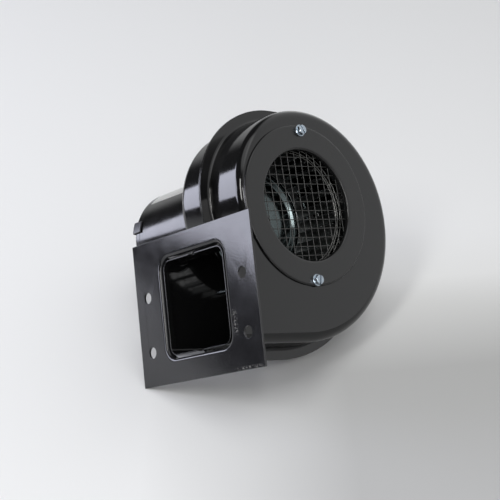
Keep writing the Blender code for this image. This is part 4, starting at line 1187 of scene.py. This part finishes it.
# %% One screw
HEX_FLAT = 0.003175
HEAD_HEIGHT = 0.0027
WASHER_THICKNESS = 0.0009
WASHER_RADIUS = 0.0042
SHANK_RADIUS = 0.0019
SHANK_LENGTH = 0.009
SLOT_WIDTH = 0.0010
SLOT_DEPTH = 0.0013
SLOT_REACH = 0.006
SLOT_ABOVE = 0.001
HEAD_TOP = -WASHER_THICKNESS - HEAD_HEIGHT
HEAD_FLAT_RADIUS = 0.00254
CHAMFER_RADIUS = 0.0029845
CHAMFER_DROP = 0.00006
CHAMFER_OUT = 0.000111125
CHAMFER_DOWN = 0.00011
CHAMFER_RINGS = 7
PAST_HEXAGON = 1
WASHER_TOP_RADIUS = 0.00395
WASHER_TOP_DROP = 0.0001
WASHER_EDGE_DROP = 0.00035
SHANK_TIP = 0.002
SHANK_TIP_RADIUS = 0.00133
HEAD_STEPS = 96
SCREW_SMOOTH_ANGLE = math.radians(24)


def hex_reach(angle):
    """How far the hexagon reaches in a direction."""
    side = math.pi / 3
    return HEX_FLAT / math.cos((angle + side / 2) % side - side / 2)


def screw_mesh():
    """The screw before its slot is cut. Each row is (radius, depth, whether the hexagon bounds it)."""
    start = HEAD_TOP + CHAMFER_DROP
    washer_top = -WASHER_THICKNESS
    rows = [(0, HEAD_TOP, False), (HEAD_FLAT_RADIUS, HEAD_TOP, False)]
    rows += [
        (CHAMFER_RADIUS + CHAMFER_OUT * i, start + CHAMFER_DOWN * i, True) for i in range(CHAMFER_RINGS + 1)
    ]
    rows += [(PAST_HEXAGON, washer_top, True), (WASHER_TOP_RADIUS, washer_top + WASHER_TOP_DROP, False)]
    rows += [(WASHER_RADIUS, washer_top + WASHER_EDGE_DROP, False), (WASHER_RADIUS, 0, False)]
    rows += [(SHANK_RADIUS, 0, False), (SHANK_RADIUS, SHANK_LENGTH - SHANK_TIP, False)]
    rows += [(SHANK_TIP_RADIUS, SHANK_LENGTH, False), (0, SHANK_LENGTH, False)]
    bm = bmesh.new()
    turns = [FULL_TURN * i / HEAD_STEPS for i in range(HEAD_STEPS)]
    rings = []
    for radius, depth, hexagonal in rows:
        rings.append(ring_of(bm, [min(radius, hex_reach(t)) if hexagonal else radius for t in turns], depth))
    for near, far in zip(rings, rings[1:]):
        join_rings(bm, near, far)
    return mesh_from(bm, "one_screw")


def cut(mesh, cutter_mesh, name):
    """Takes one mesh out of another with an exact Boolean."""
    obj = new_object(name, mesh)
    cutter = new_object(name + "_cutter", cutter_mesh)
    taken = obj.modifiers.new("cut", "BOOLEAN")
    taken.object = cutter
    taken.operation = "DIFFERENCE"
    result = finished_mesh(obj, name)
    bpy.data.objects.remove(cutter)
    return result


def block(name, low, high):
    """A box between two corners."""
    bm = bmesh.new()
    bmesh.ops.create_cube(bm, size=1)
    for vert in bm.verts:
        vert.co = Vector(h if c > 0 else l for c, l, h in zip(vert.co, low, high))
    return mesh_from(bm, name)


slot_low = (-SLOT_REACH, HEAD_TOP - SLOT_ABOVE, -SLOT_WIDTH / 2)
slot_high = (SLOT_REACH, HEAD_TOP + SLOT_DEPTH, SLOT_WIDTH / 2)
ONE_SCREW = cut(screw_mesh(), block("slot", slot_low, slot_high), "slotted_screw")
shade(ONE_SCREW, SCREW_SMOOTH_ANGLE)

# %% [markdown]
# ## Where the screws go
#
# The ring's two screws stand above and below the inlet. The motor's three stand round the back, on the
# plate's ears. Nobody lines up the slots of driven screws, so each one has its own turn.

# %% Screws at their places
SCREW_CIRCLE = 0.0532
MOUNT_CIRCLE = 0.0558
MOUNT_FIRST_ANGLE = math.radians(-118)
PLATE_THICKNESS = 0.0015
MOUNT_BACK = DEPTH + GAP + PLATE_THICKNESS

SCREW_EDGE = 0.00008
SCREW_LIFT = 0.00003
TOP_SCREW_TURN = math.radians(62)
BOTTOM_SCREW_TURN = math.radians(100)
MOUNT_TURNS = (0.7, 2.6, 4.5)


def set_screws(name, screw, places, nodes):
    """Zinc screws at (x, depth, z, turn) places, in the stead of their solids."""
    mesh = grow_at(name, screw, places, ZINC)
    break_edges(place_piece(name, mesh, ZINC, HOUSING_BODY, nodes), SCREW_EDGE, 1)


ring_seat = RING_FRONT - SCREW_LIFT
set_screws("ring_screws", ONE_SCREW, [
    (0, ring_seat, SCREW_CIRCLE, TOP_SCREW_TURN), (0, ring_seat, -SCREW_CIRCLE, BOTTOM_SCREW_TURN),
], ["ring_screw_top", "ring_screw_bottom"])

BACK_SCREW = ONE_SCREW.copy()
BACK_SCREW.transform(Matrix.Rotation(math.pi, 4, "X"))
mount_places = []
for i, slot_turn in enumerate(MOUNT_TURNS):
    x, z = polar(MOUNT_CIRCLE, MOUNT_FIRST_ANGLE + FULL_TURN * i / len(MOUNT_TURNS))
    mount_places.append((x, MOUNT_BACK, z, slot_turn))
set_screws("motor_screws", BACK_SCREW, mount_places, [f"motor_mount_screw_{i}" for i in (1, 2, 3)])

# %% [markdown]
# ## The motor
#
# A round four-pole motor hangs on the rear shell: a front bell with a bearing, a rolled shell, and an end
# cap held by three clips. All three are turned sheet, and the shell is cut where the grommet sits.

# %% Front bell, shell and end cap
MOTOR_RADIUS = 0.0421
MOTOR_WALL = 0.001
MOTOR_FACE = MOUNT_BACK + GAP
MOTOR_LENGTH = 0.0768
MOTOR_END = MOTOR_FACE + MOTOR_LENGTH - PLATE_THICKNESS
CAP_DEPTH = 0.0063
CAP_FACE = MOTOR_END - CAP_DEPTH
CAP_ROUNDING = 0.0022
SPIGOT_REACH = 0.0025
SPIGOT_FACE = DEPTH - SPIGOT_REACH
BOSS_RADIUS = 0.009
BOSS_LENGTH = 0.013
BOSS_BACK = SPIGOT_FACE + BOSS_LENGTH
BEND_ARC_STEPS = 6
CAP_ARC_STEPS = 8
BEARING_BORE = 0.0061
SHAFT_CLEAR = 0.003775
SPIGOT = MOTOR_OPENING_RADIUS - GAP

SPIGOT_INSIDE = SPIGOT - MOTOR_WALL
SHELL_INSIDE = MOTOR_RADIUS - MOTOR_WALL


def motor_piece(name, mesh, node):
    """An enamelled part of the motor's case, in the stead of its solid."""
    break_edges(place_piece(name, mesh, MOTOR_ENAMEL, HOUSING_BODY, [node]))


bell_line = [(BEARING_BORE, SPIGOT_FACE), (SPIGOT_INSIDE, SPIGOT_FACE)]
bell_line += arc((SPIGOT_INSIDE, SPIGOT_FACE + MOTOR_WALL), MOTOR_WALL, -QUARTER, 0, BEND_ARC_STEPS)[1:]
bell_line += [(SPIGOT, MOTOR_FACE), (MOTOR_RADIUS, MOTOR_FACE), (MOTOR_RADIUS, MOTOR_FACE + MOTOR_WALL)]
bell_line += [(SPIGOT_INSIDE, MOTOR_FACE + MOTOR_WALL), (SPIGOT_INSIDE, SPIGOT_FACE + 2 * MOTOR_WALL)]
bell_line += [(BOSS_RADIUS, SPIGOT_FACE + 2 * MOTOR_WALL), (BOSS_RADIUS, BOSS_BACK), (SHAFT_CLEAR, BOSS_BACK)]
bell_line += [(SHAFT_CLEAR, BOSS_BACK - MOTOR_WALL), (BEARING_BORE, BOSS_BACK - MOTOR_WALL)]
motor_piece("front_bell", turned("front_bell", bell_line, closed=True), "motor_front_bell")

LEAD_HOLE_ANGLE = math.radians(-30)
LEAD_HOLE_RADIUS = 0.0048
LEAD_HOLE_FROM, LEAD_HOLE_TO = 0.035, 0.05
LEAD_HOLE_BACK = 0.0075
LEAD_HOLE_STEPS = 48
shell_start = MOTOR_FACE + MOTOR_WALL + GAP
shell_end = CAP_FACE - GAP
shell_line = [(SHELL_INSIDE, shell_start), (MOTOR_RADIUS, shell_start), (MOTOR_RADIUS, shell_end)]
shell_line += [(SHELL_INSIDE, shell_end)]
hole_line = [(0, LEAD_HOLE_FROM), (LEAD_HOLE_RADIUS, LEAD_HOLE_FROM), (LEAD_HOLE_RADIUS, LEAD_HOLE_TO)]
lead_hole = turned("lead_hole", hole_line + [(0, LEAD_HOLE_TO)], LEAD_HOLE_STEPS, closed=True)
facing_out = Matrix.Rotation(QUARTER - LEAD_HOLE_ANGLE, 4, "Y") @ Matrix.Rotation(QUARTER, 4, "X")
lead_hole.transform(Matrix.Translation((0, shell_start + LEAD_HOLE_BACK, 0)) @ facing_out)
shell_mesh = cut(turned("rolled_shell", shell_line, closed=True), lead_hole, "rolled_shell")
shade(shell_mesh)
motor_piece("rolled_shell", shell_mesh, "motor_shell")

cap_radius = MOTOR_RADIUS - CAP_ROUNDING
cap_line = [(SHELL_INSIDE, CAP_FACE), (MOTOR_RADIUS, CAP_FACE)]
cap_line += arc((cap_radius, MOTOR_END - CAP_ROUNDING), CAP_ROUNDING, 0, QUARTER, CAP_ARC_STEPS)
cap_line += [(cap_radius - SUPPORT, MOTOR_END), (0, MOTOR_END), (0, MOTOR_END - MOTOR_WALL)]
cap_line += [(cap_radius, MOTOR_END - MOTOR_WALL), (SHELL_INSIDE, MOTOR_END - CAP_ROUNDING)]
motor_piece("round_end_cap", turned("round_end_cap", cap_line, closed=True), "motor_end_cap")
print("motor's ends lie", [round(end * IN_MM, 1) for end in (MOTOR_FACE, MOTOR_END)], "mm behind the face")

# %% [markdown]
# ## Clips and foil
#
# Each clip is a bent strip: its side outline is carried through a small part of a turn, and the tree sets
# three of them round the cap. The foil lies on the round shell, so it is bent the same way, only wider and
# thinner.

# %% Clips over the cap, and the foil plate
CLIP_THICKNESS = 0.0012
CLIP_HALF_WIDTH = 0.0045
CLIP_OVERLAP = 0.002
CLIP_BEND = 0.0014
CLIP_BEND_SINK = 0.0002
CLIP_REACH_IN = 0.007
CLIP_STEPS = 6
CLIP_COUNT = 3
CLIP_FIRST_TURN = math.radians(163)
CLIP_EDGE = 0.0002
CLIP_LOW = MOTOR_RADIUS + GAP
CLIP_HIGH = CLIP_LOW + CLIP_THICKNESS
CLIP_TIP = CLIP_HIGH - CLIP_REACH_IN
CLIP_END = MOTOR_END + GAP
CLIP_HALF_TURN = CLIP_HALF_WIDTH / CLIP_HIGH
clip_side = [(CLIP_LOW, CAP_FACE - CLIP_OVERLAP), (CLIP_HIGH, CAP_FACE - CLIP_OVERLAP)]
clip_side += arc((CLIP_HIGH - CLIP_BEND, CLIP_END - CLIP_BEND_SINK), CLIP_BEND, 0, QUARTER, CLIP_STEPS)
clip_side += [(CLIP_TIP, CLIP_END + CLIP_THICKNESS), (CLIP_TIP, CLIP_END), (CLIP_LOW, CLIP_END)]


def bent_strip(name, side, half_turn, steps):
    """A closed side outline of (radius, depth) points carried through a part of a turn."""
    turns = [-half_turn + 2 * half_turn * i / steps for i in range(steps + 1)]
    return lofted(name, [[(r * math.cos(t), depth, r * math.sin(t)) for r, depth in side] for t in turns])


one_clip = bent_strip("one_clip", clip_side, CLIP_HALF_TURN, CLIP_STEPS)
clip_values = {"Copies": CLIP_COUNT, "First Turn": CLIP_FIRST_TURN, "Finish": CLIP_ENAMEL}
clips_mesh = grow("cap_clips", one_clip, ROUND_AXIS, clip_values)
clips = place_piece(
    "cap_clips", clips_mesh, CLIP_ENAMEL, HOUSING_BODY, [f"motor_clip_{i}" for i in (1, 2, 3)],
)
break_edges(clips, CLIP_EDGE)

FOIL_LOW = math.radians(62)
FOIL_HIGH = math.radians(134)
FOIL_START, FOIL_END = 0.094, 0.1385
FOIL_LIFT = 0.00002
FOIL_THICKNESS = 0.00012
FOIL_INNER = MOTOR_RADIUS + FOIL_LIFT
FOIL_OUTER = FOIL_INNER + FOIL_THICKNESS
FOIL_STEPS = 48
foil_side = [(FOIL_INNER, FOIL_START), (FOIL_OUTER, FOIL_START)]
foil_side += [(FOIL_OUTER, FOIL_END), (FOIL_INNER, FOIL_END)]
foil_mesh = bent_strip("foil_plate", foil_side, (FOIL_HIGH - FOIL_LOW) / 2, FOIL_STEPS)
foil_mesh.transform(Matrix.Rotation(-(FOIL_HIGH + FOIL_LOW) / 2, 4, "Y"))
place_piece("bare_foil_plate", foil_mesh, FOIL, HOUSING_BODY)

# %% [markdown]
# ## What stays inside
#
# The stack, coils, rotor and bearings are shut in and keep their solids. They still get true finishes, so
# that the model reads well when someone opens it.

# %% Finishes for the solids that stay
KEPT = {
    "stator_core": LAMINATION, "rotor_core": ROTOR_METAL, "front_bearing": BRONZE, "rear_bearing": BRONZE,
    "front_bearing_retainer": SPRING, "rear_bearing_retainer": SPRING, "front_thrust_washer": FIBRE,
    "rear_thrust_washer": FIBRE, **{f"stator_coil_{i}": COPPER for i in (1, 2, 3, 4)},
}
for node, finish in KEPT.items():
    solid = NODES[node]
    if solid.material_slots:
        solid.material_slots[0].material = finish
    else:
        solid.data.materials.append(finish)
print("solids kept with new finishes:", len(KEPT))

# %% [markdown]
# ## The floor
#
# The photograph was taken on a pale sweep. The blower leans on its flange's corner and on the scroll, so
# the floor is a wide plane through that corner, tilted in the blower's frame, and see-through from below. A
# wide soft shadow lies in front of the blower at the right: the real shadow of a lamp there would also
# change the reflections, so this shadow is painted into the floor's colour as a darker tone. On the lamp's
# side the floor carries painted light, a faint glow seen by the eye and in mirrors. A glossy black object
# mirrors the floor, and far at the left the photograph's reflections are dark, so mirror rays pass through
# the floor beyond an edge there.

# %% The pale floor
FLOOR_UP = Vector((-0.390, -0.470, 0.792)).normalized()
FLOOR_COLOUR = (0.78, 0.78, 0.775)
FLOOR_ROUGHNESS = 0.9
# Painted light on the lamp's side of the floor: the glow's strength, where it fades out, and its colour.
FLOOR_PAINTED_LIGHT = (0.06, 0.0)
FLOOR_PAINTED_LIGHT_FROM = (-0.9, 0.35)
FLOOR_PAINTED_LIGHT_COLOUR = (0.98, 0.98, 1.0, 1.0)
# Painted shadow in front of the blower at the right: how much darker the floor's colour is, and where.
NEAR_SHADE = 0.57
NEAR_SHADE_AHEAD = (0.08, -0.03)
NEAR_SHADE_RIGHT = (-0.085, 0.05)
EDGE_SLANT = 0.255
EDGE_BEFORE_INLET = 0.115
EDGE_SOFTNESS = 0.06
EDGE_FAR_LEFT = (-0.5, -0.7)
PAPER_EDGE = (CAMERA_AHEAD + CAMERA_RIGHT * EDGE_SLANT).normalized()
PAPER_EDGE_AT = INLET.dot(PAPER_EDGE) - EDGE_BEFORE_INLET


def reach_along(tree, vector, direction):
    """How far a vector reaches in a direction."""
    dot = tree.nodes.new("ShaderNodeVectorMath")
    dot.operation = "DOT_PRODUCT"
    dot.inputs[1].default_value = direction
    tree.links.new(vector, dot.inputs[0])
    return dot


def pale_sweep():
    """Matt white, with painted light: for the eye and for mirrors it glows a little on the lamp's side. A
    painted shadow darkens its colour in front of the blower at the right.
    """
    material, shader = new_material("pale_sweep", FLOOR_COLOUR, FLOOR_ROUGHNESS)
    tree = material.node_tree
    point = tree.nodes.new("ShaderNodeTexCoord").outputs["Object"]
    sideways = reach_along(tree, point, CAMERA_RIGHT)
    ahead = reach_along(tree, point, CAMERA_AHEAD)
    forwards = reach_along(tree, point, PAPER_EDGE)
    path = tree.nodes.new("ShaderNodeLightPath").outputs

    def ramp(source, nothing, full, to=(0.0, 1.0)):
        return spread(material, source, "Value", nothing, full, *to).outputs["Result"]

    seen = math_of(tree, "MAXIMUM", path["Is Camera Ray"], path["Is Glossy Ray"])
    # Painted light: the floor glows a little on the lamp's side, for the eye and for mirrors.
    painted_light = math_of(tree, "MULTIPLY", ramp(sideways, *FLOOR_PAINTED_LIGHT_FROM, FLOOR_PAINTED_LIGHT), seen)
    tree.links.new(painted_light, shader.inputs["Emission Strength"])
    shader.inputs["Emission Color"].default_value = FLOOR_PAINTED_LIGHT_COLOUR
    # Painted shadow: the floor's colour is darker in front of the blower at the right.
    painted_shadow_near_right = math_of(tree, "MULTIPLY", ramp(ahead, *NEAR_SHADE_AHEAD), ramp(sideways, *NEAR_SHADE_RIGHT))
    darker = [part * NEAR_SHADE for part in FLOOR_COLOUR]
    mixed_colour(material, shader, painted_shadow_near_right, (*FLOOR_COLOUR, 1.0), (*darker, 1.0))
    before_edge = ramp(forwards, PAPER_EDGE_AT + EDGE_SOFTNESS, PAPER_EDGE_AT - EDGE_SOFTNESS)
    unlit = math_of(tree, "MULTIPLY", before_edge, ramp(sideways, *EDGE_FAR_LEFT))
    unlit = math_of(tree, "MULTIPLY", unlit, path["Is Glossy Ray"])
    below = tree.nodes.new("ShaderNodeNewGeometry").outputs["Backfacing"]
    see_through = tree.nodes.new("ShaderNodeBsdfTransparent")
    chosen = tree.nodes.new("ShaderNodeMixShader")
    parts = (math_of(tree, "MAXIMUM", unlit, below), shader.outputs[0], see_through.outputs[0])
    for source, target in zip(parts, chosen.inputs):
        tree.links.new(source, target)
    tree.links.new(chosen.outputs[0], tree.nodes["Material Output"].inputs["Surface"])
    return material


FLOOR_CORNER = Vector((FLANGE_X, MID_DEPTH + FLANGE_WIDTH / 2, FLOOR_Z - FLANGE_DROP)) + INLET
FLOOR_HALF = 2.0
floor_along = FLOOR_UP.orthogonal().normalized()
floor_across = FLOOR_UP.cross(floor_along)
floor_mesh = bpy.data.meshes.new("pale_floor")
corners = [(-1, -1), (1, -1), (1, 1), (-1, 1)]
floor_points = [FLOOR_CORNER + (floor_along * u + floor_across * v) * FLOOR_HALF for u, v in corners]
floor_mesh.from_pydata(floor_points, [], [(0, 1, 2, 3)])
floor = new_object("pale_floor", floor_mesh)
floor_mesh.materials.append(pale_sweep())
print("floor faces", [round(c, 2) for c in floor_mesh.polygons[0].normal])

# %% [markdown]
# ## The lamps
#
# Gloss black shows its surroundings more than its own colour, so each lamp stands where a reflection in the
# photograph asks for it. A wide soft box at the left gives the broad bands of light on the scroll's walls,
# and it leans so that its edge crosses the flange. The other two are narrow and stand behind the lens. The
# left one draws the scroll's rounded edge and the guard's wires, and throws the shadow at the right. The one
# straight behind the lens is mirrored by the dish as a crescent, by the beads as arcs, and by the screws.

# %% Three area lamps
LAMP_DISTANCE = 2.4


def soft_box(name, towards, size, radiance, colour, lean=0):
    """A rectangular lamp that faces the blower from a direction in the camera's axes. It may lean."""
    away = in_view_axes(*towards).normalized()
    lamp = bpy.data.lights.new(name, "AREA")
    lamp.shape = "RECTANGLE"
    lamp.size, lamp.size_y = size
    lamp.energy = radiance * math.pi * size[0] * size[1]
    lamp.color = colour
    side_axis = CAMERA_UP.cross(away).normalized()
    placing = turned_to(side_axis, away.cross(side_axis), away, INLET + away * LAMP_DISTANCE)
    new_object(name, lamp).matrix_world = placing @ Matrix.Rotation(math.radians(lean), 4, "Z")


soft_box("left_soft_box", (-0.975, 0.212, 0.040), (1.7, 1.02), 7.4, (0.83, 0.85, 1.0), lean=-22)
soft_box("window_behind", (-0.44, 0.33, -0.84), (0.42, 1.0), 11.0, (1.0, 1.0, 0.97))
soft_box("low_box_behind", (0.0, 0.03, -1.0), (0.26, 2.0), 11.0, (1.0, 1.0, 1.0))
print("lamps:", len(bpy.data.lights))

# %% [markdown]
# ## The room
#
# The rest of the light comes from the world, as four soft patches of brightness in fixed directions, on a
# dim ground. The camera's own rays see one even pale wall instead, so the background is set apart from the
# light.

# %% The room round the blower
ROOM_COLOUR = (0.98, 0.99, 1.0, 1.0)
ROOM_DIM = 0.05
WALL_SEEN = 0.85
ROOM_PATCHES = {
    "right": (CAMERA_RIGHT, -0.08, 0.2, 0.85),
    "behind the lens": (-CAMERA_AHEAD, 0.7, 0.95, 0.1),
    "ahead": (CAMERA_AHEAD, 0.55, 0.75, 0.6),
    "overhead": (FLOOR_UP, 0.9, 0.97, 1.2),
}


def room_light():
    """Brightness by direction. A patch starts at one reach along its direction and is full at the next."""
    world = bpy.data.worlds.new("room")
    bpy.context.scene.world = world
    world.use_nodes = True
    tree = world.node_tree
    background = tree.nodes["Background"]
    point = tree.nodes.new("ShaderNodeTexCoord").outputs["Generated"]
    total = ROOM_DIM
    for direction, start, full, brightness in ROOM_PATCHES.values():
        ramp = tree.nodes.new("ShaderNodeMapRange")
        ramp.interpolation_type = "SMOOTHSTEP"
        for key, number in zip(RANGE_INPUTS, (start, full, 0.0, brightness)):
            ramp.inputs[key].default_value = number
        tree.links.new(reach_along(tree, point, direction).outputs["Value"], ramp.inputs["Value"])
        total = math_of(tree, "ADD", total, ramp.outputs[0])
    path = tree.nodes.new("ShaderNodeLightPath").outputs
    seen = math_of(tree, "MULTIPLY", path["Is Camera Ray"], WALL_SEEN)
    tree.links.new(math_of(tree, "MAXIMUM", total, seen), background.inputs["Strength"])
    background.inputs["Color"].default_value = ROOM_COLOUR


room_light()
print("room patches:", list(ROOM_PATCHES))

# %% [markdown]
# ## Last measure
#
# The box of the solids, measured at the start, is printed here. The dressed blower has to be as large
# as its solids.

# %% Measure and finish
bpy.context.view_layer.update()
print("solids box ", [[round(c, 4) for c in corner] for corner in SOLIDS_BOX])
import json
